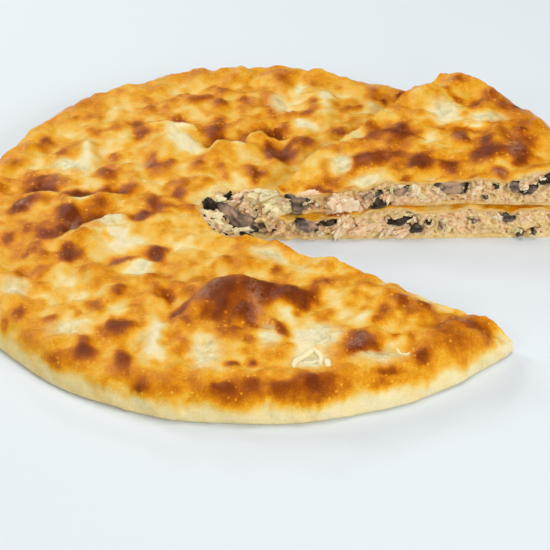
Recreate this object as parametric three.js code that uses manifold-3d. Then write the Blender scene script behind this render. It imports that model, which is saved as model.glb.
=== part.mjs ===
// An Ossetian pie: a flat round of baked dough around a filling of mushrooms, chicken and cheese.
// One wedge has been cut out of it, and the cut slice lies on the pie beside its gap.
// Millimetres, +Z up, +Y towards the back, origin at the centre of the pie's underside.
import * as THREE from "three";
import { mergeVertices } from "three/addons/utils/BufferGeometryUtils.js";
import Module from "manifold-3d";

const wasm = await Module();
wasm.setup();

// Dough: the round that the pie and the slice share
const pieRadius = 163;
const pieHeight = 18.5;
const widestHeight = 2.5;
const footInset = 2.5;
const crestInset = 13;
const rimValley = { inset: 28, reach: 14, depth: 2 };
const topRings = 19;
const roundSegments = 96;
const rimLobes = [
  { count: 1, size: 1.4, phase: 1.7 },
  { count: 3, size: 1.5, phase: 2.2 },
  { count: 4, size: 0.7, phase: 5 },
  { count: 17, size: 0.5, phase: 1.2 },
];

// Crust and filling
const crustThickness = 3;
const baseThickness = 3.4;
const rimDough = 9.5;
const fillingEdgeRound = 4.5;
const fillingRings = 7;
const fillingSegments = 56;
const clearance = 0.3;
const weldDistance = 1e-4;

// The gap that the wedge left, seen from above
const farCutY = -5;
const nearCutFrom = { x: 8, y: -33 };
const nearCutAngle = -31;
const gapApex = { x: -8, y: -14, bendY: -25 };
const cutReach = 260;
const cutSpan = { low: -20, high: 80 };

// The tip of the gap, where the top crust tore away and the filling slopes down
const tearFoot = { x: 0, y: -14, radius: 9 };
const tearTop = { x: -8, y: -2.5, radius: 25, height: 18 };
const tearSpan = { low: -1, high: 30 };
const tearSegments = 28;

// The slice on top
const sliceRadius = 163;
const sliceCentre = { x: 19, y: -8 };
const sliceHeight = 16.5;
const sliceApex = { x: 4, y: -1.8 };
const sliceAngle = 48.5;
const sliceTipX = 11;
const sliceTipBulge = 3;
const sliceSink = 1;
const sliceFillingBase = 4.4;
const pressedFlat = { outside: 8, inside: 4 };

// The pie settles towards its cut tip and swells under the slice's outer end
const settled = [
  { x: 22, y: -3, along: 58, across: 58, rise: -5.2 },
  { x: 125, y: 30, along: 75, across: 75, rise: 2.2 },
];

// Blisters and folds of the pie's top; a lean above 0 makes the side away from the front steeper
const pieBlisters = [
  { x: -11, y: -78, along: 34, across: 26, rise: 9.5, lean: 0.5 },
  { x: 18, y: -79, along: 12, across: 13, rise: 4.4, lean: 0.4 },
  { x: 50, y: -119, along: 13, across: 9, rise: 3.6, turn: 45 },
  { x: -84, y: -62, along: 15, across: 14, rise: 3.4 },
  { x: -70, y: -24, along: 40, across: 20, rise: 3.6, turn: 22, lean: 0.6 },
  { x: -88, y: 2, along: 34, across: 15, rise: 3, turn: 8, lean: 0.6 },
  { x: -45, y: 62, along: 25, across: 20, rise: 4, lean: 0.3 },
  { x: -12, y: 56, along: 22, across: 13, rise: 2.6 },
  { x: 13, y: 54, along: 24, across: 12, rise: -3, turn: 115 },
  { x: 26, y: 96, along: 26, across: 15, rise: 2.6, turn: 80 },
  { x: 52, y: 108, along: 22, across: 13, rise: 2.2, turn: 70 },
  { x: -110, y: 54, along: 17, across: 14, rise: 2.8, turn: 70 },
  { x: -68, y: -104, along: 15, across: 12, rise: 2.6 },
  { x: -90, y: -90, along: 17, across: 12, rise: 2.2, turn: 15 },
  { x: 80, y: -91, along: 12, across: 10, rise: 2.8 },
  { x: 100, y: -113, along: 24, across: 17, rise: 2, turn: -30 },
  { x: -42, y: 116, along: 19, across: 11, rise: 2.2, turn: -20 },
  { x: 30, y: -147, along: 17, across: 9, rise: 1.6 },
  { x: -16, y: 147, along: 14, across: 9, rise: 2 },
];

// The slice thickens towards its rim, and has blisters of its own
const sliceRimRise = [{ x: 150, y: 40, along: 85, across: 60, rise: 3.4, turn: 60 }];
const sliceBlisters = [
  { x: 72, y: 52, along: 23, across: 15, rise: 3, turn: 30, lean: 0.3 },
  { x: 68, y: 26, along: 18, across: 10, rise: 1.8 },
  { x: 111, y: 44, along: 11, across: 10, rise: 2.4 },
  { x: 123, y: 22, along: 12, across: 12, rise: 2 },
  { x: 128, y: 7, along: 9, across: 8, rise: 2.2 },
  { x: 143, y: 28, along: 18, across: 9, rise: 2, turn: 85 },
  { x: 117, y: 108, along: 20, across: 15, rise: 4, turn: 45 },
  { x: 54, y: 2, along: 30, across: 20, rise: -2 },
  { x: 165, y: 0, along: 26, across: 22, rise: 4 },
];

// Mushroom and chicken pieces that stand out of a cut: place along the cut, length and thickness
const farCutPieces = [
  { along: 27, length: 12, thick: 5 },
  { along: 43, length: 14, thick: 6 },
  { along: 61, length: 15, thick: 7 },
  { along: 80, length: 13, thick: 7 },
  { along: 98, length: 17, thick: 8 },
  { along: 118, length: 16, thick: 8 },
  { along: 133, length: 11, thick: 7 },
];
const sliceCutPieces = [
  { along: 24, length: 12, thick: 5 },
  { along: 45, length: 18, thick: 6 },
  { along: 66, length: 12, thick: 6 },
  { along: 84, length: 15, thick: 7 },
  { along: 103, length: 17, thick: 7 },
  { along: 122, length: 13, thick: 7 },
  { along: 139, length: 13, thick: 6 },
];
const hiddenCutPieces = { first: 24, step: 22, count: 4, length: 14, lengthSpread: 0.2, thick: 6 };
const tearPieces = [
  { bearing: 150, length: 13, thick: 6 },
  { bearing: 108, length: 24, thick: 5 },
  { bearing: 62, length: 12, thick: 6 },
];
const pieceDepth = 4;
const pieceSeed = 11;

const { degToRad: radians, lerp, smoothstep } = THREE.MathUtils;

// 1 at the middle, falling smoothly to 0 at a distance of 1
function softFall(distance) {
  return distance < 1 ? (1 - distance * distance) ** 2 : 0;
}

// The height that a list of blisters adds at a point
function reliefAt(blisters, x, y) {
  let height = 0;
  for (const { x: cx, y: cy, along, across, rise, turn = 0, lean = 0 } of blisters) {
    const c = Math.cos(radians(turn));
    const s = Math.sin(radians(turn));
    const u = (x - cx) * c + (y - cy) * s;
    const v = (y - cy) * c - (x - cx) * s;
    const width = v > 0 ? across * (1 - lean) : across * (1 + lean / 2);
    height += rise * softFall(Math.hypot(u / along, v / width));
  }
  return height;
}

// How far a point lies inside the slice's two cuts
function depthUnderSlice(x, y) {
  const angle = radians(sliceAngle);
  const fromLeftCut = (x - sliceApex.x) * Math.sin(angle) - (y - sliceApex.y) * Math.cos(angle);
  return Math.min(y - sliceApex.y, fromLeftCut);
}

// The pie's top without its blisters, which is what the slice lies on
function restingTop(x, y) {
  return pieHeight + reliefAt(settled, x, y);
}

// The rim is a low roll with a shallow valley inside it
function valleyAt(radius, fullRadius) {
  const distance = Math.abs(radius - (fullRadius - rimValley.inset)) / rimValley.reach;
  return -rimValley.depth * softFall(distance);
}

function pieRelief(x, y) {
  const bare = 1 - smoothstep(depthUnderSlice(x, y), -pressedFlat.outside, pressedFlat.inside);
  const radius = Math.hypot(x, y);
  return reliefAt(settled, x, y) + bare * (reliefAt(pieBlisters, x, y) + valleyAt(radius, pieRadius));
}

function sliceRelief(x, y) {
  const radius = Math.hypot(x - sliceCentre.x, y - sliceCentre.y);
  return reliefAt(sliceRimRise, x, y) + reliefAt(sliceBlisters, x, y) + valleyAt(radius, sliceRadius);
}

function wobbleAt(angle) {
  let size = 0;
  for (const lobe of rimLobes) size += lobe.size * Math.sin(lobe.count * angle + lobe.phase);
  return size;
}

// A closed geometry with shared vertices as a solid
function solidFrom(geometry) {
  const bare = geometry.index ? geometry.toNonIndexed() : geometry.clone();
  bare.deleteAttribute("normal");
  bare.deleteAttribute("uv");
  const merged = mergeVertices(bare, weldDistance);
  const triVerts = [];
  const corner = merged.index.array;
  for (let i = 0; i < corner.length; i += 3) {
    const [a, b, c] = [corner[i], corner[i + 1], corner[i + 2]];
    if (a !== b && b !== c && c !== a) triVerts.push(a, b, c);
  }
  return new wasm.Manifold(
    new wasm.Mesh({
      numProp: 3,
      vertProperties: new Float32Array(merged.attributes.position.array),
      triVerts: new Uint32Array(triVerts),
    }),
  );
}

// A profile of [radius, height] turned about +Z, each vertex then moved by place
function turnedSolid(profile, segments, place) {
  const points = profile.map(([radius, height]) => new THREE.Vector2(radius, height));
  const geometry = new THREE.LatheGeometry(points, segments);
  geometry.rotateX(Math.PI / 2);
  const position = geometry.attributes.position;
  const vertex = new THREE.Vector3();
  for (let i = 0; i < position.count; i++) {
    vertex.fromBufferAttribute(position, i);
    place(vertex);
    position.setXYZ(i, vertex.x, vertex.y, vertex.z);
  }
  return solidFrom(geometry);
}

// An outline in plan as an upright prism through everything
function prismFrom(shape) {
  const depth = cutSpan.high - cutSpan.low;
  const geometry = new THREE.ExtrudeGeometry(shape, { depth, bevelEnabled: false, curveSegments: 8 });
  geometry.translate(0, 0, cutSpan.low);
  return solidFrom(geometry);
}

// The outside of a baked round, from the middle of its underside to the middle of its top
function doughProfile(radius, height) {
  const profile = [[0, 0], [radius / 2, 0]];
  for (const turn of [0, 30, 60]) {
    const a = radians(turn);
    profile.push([radius - footInset * (1 - Math.sin(a)), widestHeight * (1 - Math.cos(a))]);
  }
  for (const turn of [0, 28, 56, 90]) {
    const a = radians(turn);
    const rise = (height - widestHeight) * Math.sin(a);
    profile.push([radius - crestInset * (1 - Math.cos(a)), widestHeight + rise]);
  }
  for (let ring = topRings - 1; ring >= 0; ring--) {
    profile.push([((radius - crestInset) * ring) / topRings, height]);
  }
  return profile;
}

// The pocket of filling inside a round, larger all round by grow
function fillingProfile(radius, height, base, grow) {
  const edge = radius - rimDough + grow;
  const bottom = base - grow;
  const top = height - crustThickness + grow;
  const profile = [
    [0, bottom],
    [edge / 2, bottom],
    [edge - fillingEdgeRound, bottom],
    [edge, (bottom + top) / 2],
    [edge - fillingEdgeRound, top],
  ];
  for (let ring = fillingRings - 1; ring >= 0; ring--) {
    profile.push([((edge - fillingEdgeRound) * ring) / fillingRings, top]);
  }
  return profile;
}

function pieOutside() {
  return turnedSolid(doughProfile(pieRadius, pieHeight), roundSegments, (vertex) => {
    const lift = pieRelief(vertex.x, vertex.y) * smoothstep(vertex.z, widestHeight, pieHeight);
    const grown = 1 + wobbleAt(Math.atan2(vertex.y, vertex.x)) / pieRadius;
    vertex.set(vertex.x * grown, vertex.y * grown, vertex.z + lift);
  });
}

function pieInside(grow) {
  const profile = fillingProfile(pieRadius, pieHeight, baseThickness, grow);
  return turnedSolid(profile, fillingSegments, (vertex) => {
    const share = smoothstep(vertex.z, baseThickness + 1, pieHeight - crustThickness);
    const radius = Math.hypot(vertex.x, vertex.y);
    vertex.z += share * (reliefAt(settled, vertex.x, vertex.y) + valleyAt(radius, pieRadius));
  });
}

function sliceOutside() {
  return turnedSolid(doughProfile(sliceRadius, sliceHeight), roundSegments, (vertex) => {
    const share = smoothstep(vertex.z, widestHeight, sliceHeight);
    vertex.x += sliceCentre.x;
    vertex.y += sliceCentre.y;
    vertex.z += restingTop(vertex.x, vertex.y) - sliceSink + share * sliceRelief(vertex.x, vertex.y);
  });
}

function sliceInside(grow) {
  const profile = fillingProfile(sliceRadius, sliceHeight, sliceFillingBase, grow);
  return turnedSolid(profile, fillingSegments, (vertex) => {
    const share = smoothstep(vertex.z, sliceFillingBase + 1, sliceHeight - crustThickness);
    vertex.x += sliceCentre.x;
    vertex.y += sliceCentre.y;
    const radius = Math.hypot(vertex.x - sliceCentre.x, vertex.y - sliceCentre.y);
    const lift = reliefAt(sliceRimRise, vertex.x, vertex.y) + valleyAt(radius, sliceRadius);
    vertex.z += restingTop(vertex.x, vertex.y) - sliceSink + share * lift;
  });
}

// Half way up the filling
function pieMiddle(x, y) {
  return (baseThickness + restingTop(x, y) - crustThickness) / 2;
}

function sliceMiddle(x, y) {
  const top = sliceHeight - crustThickness + reliefAt(sliceRimRise, x, y);
  return restingTop(x, y) - sliceSink + (sliceFillingBase + top) / 2;
}

// The missing wedge in plan: far cut, rounded apex, near cut
function gapPrism() {
  const angle = radians(nearCutAngle);
  const shape = new THREE.Shape();
  shape.moveTo(cutReach, farCutY);
  shape.lineTo(0, farCutY);
  shape.quadraticCurveTo(gapApex.x, farCutY, gapApex.x, gapApex.y);
  shape.quadraticCurveTo(gapApex.x, gapApex.bendY, nearCutFrom.x, nearCutFrom.y);
  shape.lineTo(nearCutFrom.x + cutReach * Math.cos(angle), nearCutFrom.y + cutReach * Math.sin(angle));
  return prismFrom(shape);
}

// Middle and radius of the torn funnel at a height
function tearAt(z) {
  const share = z / tearTop.height;
  return {
    x: lerp(tearFoot.x, tearTop.x, share),
    y: lerp(tearFoot.y, tearTop.y, share),
    radius: lerp(tearFoot.radius, tearTop.radius, share),
  };
}

function tearCone() {
  const { low, high } = tearSpan;
  const profile = [[0, low], [1, low], [1, high], [0, high]];
  return turnedSolid(profile, tearSegments, (vertex) => {
    const { x, y, radius } = tearAt(vertex.z);
    vertex.set(x + vertex.x * radius, y + vertex.y * radius, vertex.z);
  });
}

// The slice in plan: front cut, left cut and a blunt torn tip
function slicePrism() {
  const angle = radians(sliceAngle);
  const tipLength = (sliceTipX - sliceApex.x) / Math.cos(angle);
  const tipLeft = { x: sliceTipX, y: sliceApex.y + tipLength * Math.sin(angle) };
  const shape = new THREE.Shape();
  shape.moveTo(sliceTipX, sliceApex.y);
  shape.lineTo(cutReach, sliceApex.y);
  shape.lineTo(sliceApex.x + cutReach * Math.cos(angle), sliceApex.y + cutReach * Math.sin(angle));
  shape.lineTo(tipLeft.x, tipLeft.y);
  shape.quadraticCurveTo(sliceTipX - sliceTipBulge, (tipLeft.y + sliceApex.y) / 2, sliceTipX, sliceApex.y);
  return prismFrom(shape);
}

// A repeatable random number from 0 to 1
function seededRandom(seed) {
  const multiplier = 16807;
  const modulus = 2147483647;
  let state = seed;
  return () => {
    state = (state * multiplier) % modulus;
    return state / modulus;
  };
}
const random = seededRandom(pieceSeed);

// One lumpy piece of mushroom or chicken, its length turned along a bearing in plan
function fillingPiece(x, y, z, length, thick, bearing) {
  const geometry = new THREE.IcosahedronGeometry(0.5, 1);
  geometry.rotateX(random() * Math.PI);
  geometry.scale(length, pieceDepth, thick);
  geometry.rotateZ(radians(bearing));
  geometry.translate(x, y, z);
  return solidFrom(geometry);
}

// Pieces along a cut that faces the front
function piecesAlongCut(pieces, y, middleAt) {
  return pieces.map(({ along, length, thick }) => {
    return fillingPiece(along, y, middleAt(along, y), length, thick, 0);
  });
}

// Pieces on a cut that faces away from the front, spread at even steps from its inner end
function piecesAwayFromFront(from, bearing, middleAt) {
  const { first, step, count, length, lengthSpread, thick } = hiddenCutPieces;
  const angle = radians(bearing);
  const pieces = [];
  for (let i = 0; i < count; i++) {
    const along = first + step * i;
    const x = from.x + along * Math.cos(angle);
    const y = from.y + along * Math.sin(angle);
    const share = lerp(1 - lengthSpread, 1 + lengthSpread, random());
    pieces.push(fillingPiece(x, y, middleAt(x, y), length * share, thick, bearing));
  }
  return pieces;
}

function piecesInTear() {
  return tearPieces.map(({ bearing, length, thick }) => {
    const z = pieMiddle(tearTop.x, tearTop.y);
    const { x, y, radius } = tearAt(z);
    const angle = radians(bearing);
    const wall = { x: x + radius * Math.cos(angle), y: y + radius * Math.sin(angle) };
    return fillingPiece(wall.x, wall.y, z, length, thick, bearing + 90);
  });
}

function joined(core, pieces) {
  return pieces.reduce((solid, piece) => solid.add(piece), core);
}

function meshFrom(name, solid, material) {
  const { numProp, numVert, vertProperties, triVerts } = solid.getMesh();
  const positions = new Float32Array(numVert * 3);
  for (let i = 0; i < numVert; i++) {
    positions.set(vertProperties.subarray(i * numProp, i * numProp + 3), i * 3);
  }
  const geometry = new THREE.BufferGeometry();
  geometry.setAttribute("position", new THREE.BufferAttribute(positions, 3));
  geometry.setIndex(new THREE.BufferAttribute(new Uint32Array(triVerts), 1));
  geometry.computeVertexNormals();
  const mesh = new THREE.Mesh(geometry, material);
  mesh.name = name;
  return mesh;
}

const crustLook = { color: 0xd79a4a, roughness: 0.5, metalness: 0 };
const fillingLook = { color: 0xd9c09a, roughness: 0.65, metalness: 0 };

// The round pie, cut open
const wholePie = pieOutside();
const gap = gapPrism().add(tearCone());
const pieCrust = wholePie.subtract(pieInside(clearance)).subtract(gap);
const pieFilling = joined(pieInside(0).subtract(gap), [
  ...piecesAlongCut(farCutPieces, farCutY, pieMiddle),
  ...piecesAwayFromFront(nearCutFrom, nearCutAngle, pieMiddle),
  ...piecesInTear(),
]);

// The slice, lying on the whole pie's top
const slicePlan = slicePrism();
const liftedPie = wholePie.translate([0, 0, clearance]);
const sliceCrust = sliceOutside().subtract(sliceInside(clearance)).intersect(slicePlan).subtract(liftedPie);
const sliceFilling = joined(sliceInside(0).intersect(slicePlan), [
  ...piecesAlongCut(sliceCutPieces, sliceApex.y, sliceMiddle),
  ...piecesAwayFromFront(sliceApex, sliceAngle, sliceMiddle),
]);

const pie = new THREE.Group();
pie.add(meshFrom("pie_crust", pieCrust, new THREE.MeshStandardMaterial(crustLook)));
pie.add(meshFrom("pie_filling", pieFilling, new THREE.MeshStandardMaterial(fillingLook)));
const slice = new THREE.Group();
slice.add(meshFrom("slice_crust", sliceCrust, new THREE.MeshStandardMaterial(crustLook)));
slice.add(meshFrom("slice_filling", sliceFilling, new THREE.MeshStandardMaterial(fillingLook)));
pie.add(slice);

export default pie;
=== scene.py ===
import math

import bmesh
import bpy
import numpy as np
from mathutils import Matrix, Vector, noise


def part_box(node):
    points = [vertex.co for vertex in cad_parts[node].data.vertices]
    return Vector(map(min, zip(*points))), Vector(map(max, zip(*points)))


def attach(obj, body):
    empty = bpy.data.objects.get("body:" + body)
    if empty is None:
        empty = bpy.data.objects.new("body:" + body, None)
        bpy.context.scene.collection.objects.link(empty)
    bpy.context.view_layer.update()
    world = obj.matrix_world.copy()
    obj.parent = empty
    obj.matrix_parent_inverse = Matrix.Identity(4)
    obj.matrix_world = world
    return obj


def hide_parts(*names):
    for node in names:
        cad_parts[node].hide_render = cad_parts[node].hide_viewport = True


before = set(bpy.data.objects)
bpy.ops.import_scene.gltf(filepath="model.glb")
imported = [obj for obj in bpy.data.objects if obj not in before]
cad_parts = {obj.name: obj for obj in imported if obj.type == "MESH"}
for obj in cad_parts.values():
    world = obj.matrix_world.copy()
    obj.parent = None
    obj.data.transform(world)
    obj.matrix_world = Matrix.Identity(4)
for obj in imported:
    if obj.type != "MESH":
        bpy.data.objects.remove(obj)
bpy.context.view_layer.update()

# Camera
# A cook's view over the front edge: it looks along +Y and well down onto the round, through a
# long lens, close enough that the right rim runs out of the picture.
camera_aim = Vector((0.00926, -0.03907, 0.0))
camera_distance = 0.900
camera_elevation = math.radians(35.7)
camera_data = bpy.data.cameras.new("camera")
camera_data.sensor_width = 36.0
camera_data.lens = 111.9
camera = bpy.data.objects.new("camera", camera_data)
camera_back = Vector((0.0, -math.cos(camera_elevation), math.sin(camera_elevation)))
camera.location = camera_aim + camera_distance * camera_back
camera.rotation_euler = (math.pi / 2 - camera_elevation, 0.0, 0.0)
bpy.context.collection.objects.link(camera)
bpy.context.scene.camera = camera

# Pie crust
# Soft yeast dough drawn up round the filling, pressed out to a flat round and baked. The top
# blisters, folds and browns in spots, while the rim stays pale. One wedge has been cut out.
# Dough is shaped in millimetres and scaled to metres when the piece is finished.
mm = 0.001
pie_low, pie_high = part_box("pie_crust")
pie_radius = (pie_high[0] - pie_low[0]) / 2 / mm
pie_height = 18.5
crest_inset = 13.0
widest_height = 2.5
foot_inset = 2.5
crust_thickness = 1.5
base_thickness = 2.2
rim_dough = 5.0
sheet_cells = 262
underside_rings = 5

# Lobes that make the round uneven: waves around it, size, phase.
rim_lobes = [(1, 1.4, 1.7), (3, 1.5, 2.2), (4, 0.7, 5.0), (17, 0.5, 1.2)]

# Broad settling of the top: x, y, along, across, turn, rise.
settled_parts = [
    (22, -3, 58, 58, 0, -5.2),
    (125, 30, 75, 75, 0, 1.3),
]

# Large swellings of the top: x, y, along, across, turn, rise, lean.
pie_swells = [
    (-11, -78, 34, 26, 0, 10.0, 0.52),
    (18, -79, 11, 13, 0, 4.6, 0.45),
    (-82, -60, 13, 13, 0, 4.2, 0.5),
    (-78, -28, 32, 18, 25, 3.6, 0.6),
    (-88, 0, 32, 12, 6, 2.6, 0.6),
    (-48, 62, 20, 18, 0, 6.0, 0.4),
    (-18, 54, 26, 14, 0, 3.6, 0.4),
    (13, 56, 26, 9, 112, -4.6, 0.0),
    (36, 108, 14, 26, 0, 4.0, 0.2),
    (68, 108, 13, 14, 0, 2.6, 0.2),
    (24, 82, 13, 14, 0, 2.2, 0.3),
    (16, 104, 4, 22, 8, -1.8, 0.0),
    (-110, 52, 9, 15, 0, 3.0, 0.3),
    (-97, 58, 7, 22, 8, 3.0, 0.0),
    (-95, -90, 15, 12, 15, 2.4, 0.4),
    (-66, -108, 12, 9, -15, 2.4, 0.4),
    (-47, -120, 6, 22, 0, 2.4, 0.0),
    (-24, -124, 11, 14, 0, -1.6, 0.0),
    (28, -128, 14, 10, 0, -1.8, 0.0),
    (100, -114, 24, 17, -30, 2.6, 0.0),
    (84, -92, 11, 8, -30, 1.0, 0.3),
    (82, -78, 46, 11, -31, -3.0, 0.0),
    (119, -101, 24, 18, -31, -6.0, 0.0),
    (-42, 116, 13, 11, -20, 3.0, 0.3),
    (30, -150, 19, 9, 0, 1.8, 0.0),
    (-16, -154, 12, 8, 0, 1.4, 0.0),
    (-16, 147, 14, 9, 0, 0.8, 0.0),
    (60, 148, 18, 13, -20, -2.6, 0.0),
    (4, 150, 17, 11, 0, -2.6, 0.0),
    (-52, 141, 24, 12, 18, -2.0, 0.0),
    (-125, 90, 14, 14, 0, -2.2, 0.0),
]

# Blisters and browned spots of the pie: x, y, along, across, turn, rise, browning. Where the rise is negative
# it is a crease, and its browning is painted shade in it.
pie_blisters = [
    # left
    (-127, 0, 6.5, 7, 0, 2.0, 0.50),
    (-103, -9, 6, 7, 0, 1.0, 0.36),
    (-97, -20, 18, 12, 25, 0.5, 0.42),
    (-90, -5, 16, 6, 10, 0.4, 0.24),
    (-112, -30, 6, 6, 0, 0.8, 0.40),
    (-131, -30, 4, 6, 0, 0.8, 0.38),
    (-125, -16, 5, 4, 0, 0.5, 0.16),
    (-64, -12, 6, 5, -20, -0.5, 0.44),
    (-55, -11, 8, 3, 5, -0.5, 0.32),
    (-65, -28, 4.5, 6, 0, 1.2, 0.28),
    (-80, -31, 3, 4, 0, 0.6, 0.22),
    (-96, -47, 6.5, 7.5, 0, 1.3, 0.50),
    (-70, -52, 9, 6.5, -10, 0.6, 0.48),
    (-51, -46, 5.5, 8.5, 0, 1.1, 0.50),
    (-82, -60, 11, 10, 0, 0.8, 0.26),
    (-55, -69, 7, 5, 0, 1.0, 0.22),
    (-117, -43, 10, 9, 0, 0.5, 0.24),
    (-120, -60, 5, 5, 0, 0.6, 0.18),
    # front left
    (-107, -72, 4.5, 6, 0, 1.0, 0.30),
    (-98, -81, 5, 5, 0, 0.8, 0.22),
    (-95, -90, 7, 8, 0, 1.0, 0.30),
    (-69, -82, 4.5, 6, 0, 1.0, 0.26),
    (-81, -86, 4, 7, 0, 0.6, 0.18),
    (-78, -94, 4, 6, 0, 0.8, 0.16),
    (-86, -98, 5, 4, 0, 0.6, 0.18),
    (-59, -95, 5, 5.5, 0, 1.0, 0.32),
    (-101, -100, 4.5, 5, 0, 1.0, 0.40),
    (-117, -97, 4.5, 6, 0, 0.8, 0.36),
    (-125, -100, 4, 5, 0, 0.6, 0.30),
    (-66, -108, 10, 7.5, -15, 0.8, 0.32),
    (-71, -106, 4, 4, 0, 0.4, 0.14),
    (-82, -126, 7, 6, 0, 1.2, 0.44),
    (-84, -118, 4, 5, 0, 0.6, 0.22),
    (-100, -132, 9, 6, -10, 1.2, 0.34),
    (-97, -125, 5, 4, 0, 0.6, 0.20),
    (-63, -132, 5.5, 9, 0, 1.2, 0.36),
    # front middle
    (-28, -67, 7, 5, 0, 1.0, 0.30),
    (-1, -68, 4, 2.5, 0, 0.6, 0.36),
    (-46, -81, 8, 6, -35, -0.6, 0.44),
    (-38, -95, 9, 3.5, 40, -0.8, 0.50),
    (-9, -86, 27, 22, 0, 0.0, 0.46),
    (-27, -101, 13, 11, 0, 0.5, 0.20),
    (-6, -104, 14, 12, 0, 0.3, 0.18),
    (-14, -122, 11, 10, 0, 0.3, 0.16),
    (-35, -113, 8, 10, 0, 0.3, 0.16),
    (18, -84, 13, 10, -15, 0.0, 0.31),
    (20, -96, 3, 4, 0, -0.8, 0.34),
    (33, -71, 6, 6.5, 0, 1.2, 0.38),
    (33, -96, 9, 6, -5, 1.0, 0.32),
    (13, -111, 4, 7, 20, 0.8, 0.44),
    (27, -107, 4, 4, 0, 0.5, 0.16),
    (-12, -135, 5, 3.5, 0, 0.5, 0.36),
    (-1, -134, 4, 2.5, 0, 0.4, 0.44),
    (10, -55, 6, 5, 0, 0.6, 0.18),
    (-14, -52, 7, 5, 0, 0.8, 0.20),
    # along the front rim
    (-15, -153, 7, 5, 0, 0.5, 0.36),
    (-1, -150, 6, 6, 0, 0.4, 0.24),
    (11, -151, 7, 6, 0, 0.4, 0.28),
    (29, -150, 12, 7, 0, 0.4, 0.34),
    (60, -148, 8, 6, 0, 0.6, 0.28),
    (63, -140, 7, 2.5, 5, -0.6, 0.36),
    (-55, -152, 5, 9, 5, 0.8, 0.40),
    (-38, -148, 9, 5, 0, 0.4, 0.10),
    (-74, -146, 7, 5, 0, 0.4, 0.18),
    # front right
    (51, -119, 14, 10, 42, 3.4, 0.66),
    (83, -90, 6, 5.5, 0, 1.0, 0.44),
    (72, -88, 4, 4, 0, 0.8, 0.26),
    (63, -94, 5, 6, 0, 0.6, 0.26),
    (78, -97, 7, 4, -20, 0.6, 0.26),
    (86, -104, 9, 4, 0, 0.6, 0.22),
    (105, -105, 8, 4, -10, 0.6, 0.24),
    (80, -128, 5.5, 6, 0, 1.0, 0.44),
    (59, -103, 3, 3, 0, 0.5, 0.26),
    (101, -135, 4.5, 6, 0, 0.8, 0.36),
    (85, -142, 4, 5, 0, 0.4, 0.26),
    (72, -146, 5, 4, 0, 0.4, 0.22),
    (66, -113, 4, 4, 0, 0.4, 0.16),
    (76, -114, 3, 4, 0, 0.4, 0.22),
    # back left
    (-121, 66, 4.5, 7, 10, 1.2, 0.36),
    (-110, 52, 5, 8, 0, 0.6, 0.38),
    (-134, 43, 6, 5, 0, 0.8, 0.26),
    (-81, 50, 4, 5.5, 10, 1.2, 0.38),
    (-84, 29, 6, 6, -30, 1.2, 0.30),
    (-94, 75, 5, 7, 35, 0.8, 0.32),
    (-85, 83, 5, 8, 0, 0.6, 0.20),
    (-115, 23, 9, 9, -20, 0.8, 0.30),
    (-118, 16, 9, 2.5, -12, -0.8, 0.40),
    (-95, 11, 11, 4, 5, -0.8, 0.45),
    (-71, 15, 6, 6, 10, 1.6, 0.46),
    (-55, 36, 7, 8, 0, 1.5, 0.40),
    (-60, 45, 5, 9, 20, 0.5, 0.30),
    (-49, 43, 4, 9, 0, 1.0, 0.32),
    (-55, 4, 10, 9, 0, 1.0, 0.22),
    (-52, -3, 8, 5, 0, 0.4, 0.24),
    (-45, 120, 6, 5, 0, 0.8, 0.34),
    (-37, 112, 5, 6, -40, 0.6, 0.38),
    (-22, 126, 6, 5, 0, 0.8, 0.16),
    (-64, 105, 4, 6, 0, 0.8, 0.30),
    (-71, 87, 4, 4, 0, 0.5, 0.36),
    (-58, 83, 11, 3, 0, -0.6, 0.36),
    (-68, 75, 5, 10, 10, 0.8, 0.26),
    (-45, 90, 6, 5, 0, 1.0, 0.30),
    (-25, 77, 7, 9, -10, 1.5, 0.46),
    (-22, 88, 4, 6, 0, 0.5, 0.28),
    (-18, 67, 9, 5, 0, -0.4, 0.42),
    (-23, 107, 4, 5, 0, 0.6, 0.20),
    (-50, 110, 4, 5, 0, 0.6, 0.18),
    (-83, 122, 4, 3, 0, 0.4, 0.20),
    (-9, 114, 3, 6, 0, 0.5, 0.20),
    # back right and middle
    (31, 109, 4.5, 5, 0, 1.2, 0.46),
    (84, 117, 4, 4.5, 0, 0.8, 0.40),
    (58, 106, 2.5, 6, 0, 0.6, 0.30),
    (73, 112, 2.5, 5, 0, 0.4, 0.22),
    (46, 77, 5.5, 7, 0, 1.2, 0.38),
    (24, 64, 8, 8, 0, 1.5, 0.36),
    (30, 60, 5, 4, 0, 0.4, 0.20),
    (8, 73, 6, 8, 15, 0.5, 0.32),
    (12, 53, 8, 13, 20, 0.0, 0.50),
    (6, 50, 3, 7, 0, 0.8, 0.25),
    (16, 82, 6, 6, 0, 0.4, 0.28),
    (10, 99, 3, 5, 0, -0.4, 0.26),
    (-34, 43, 6, 8, 0, 1.2, 0.38),
    (-20, 45, 9, 11, 0, 0.8, 0.20),
    (-4, 34, 5, 7, 30, 1.2, 0.38),
    (-2, 25, 3.5, 4, 0, 0.6, 0.36),
    (-18, 30, 4, 4, 0, 0.6, 0.28),
    (-28, 24, 4, 4, 0, 0.6, 0.18),
    (-42, 8, 4, 6, 0, 0.6, 0.20),
]
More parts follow.
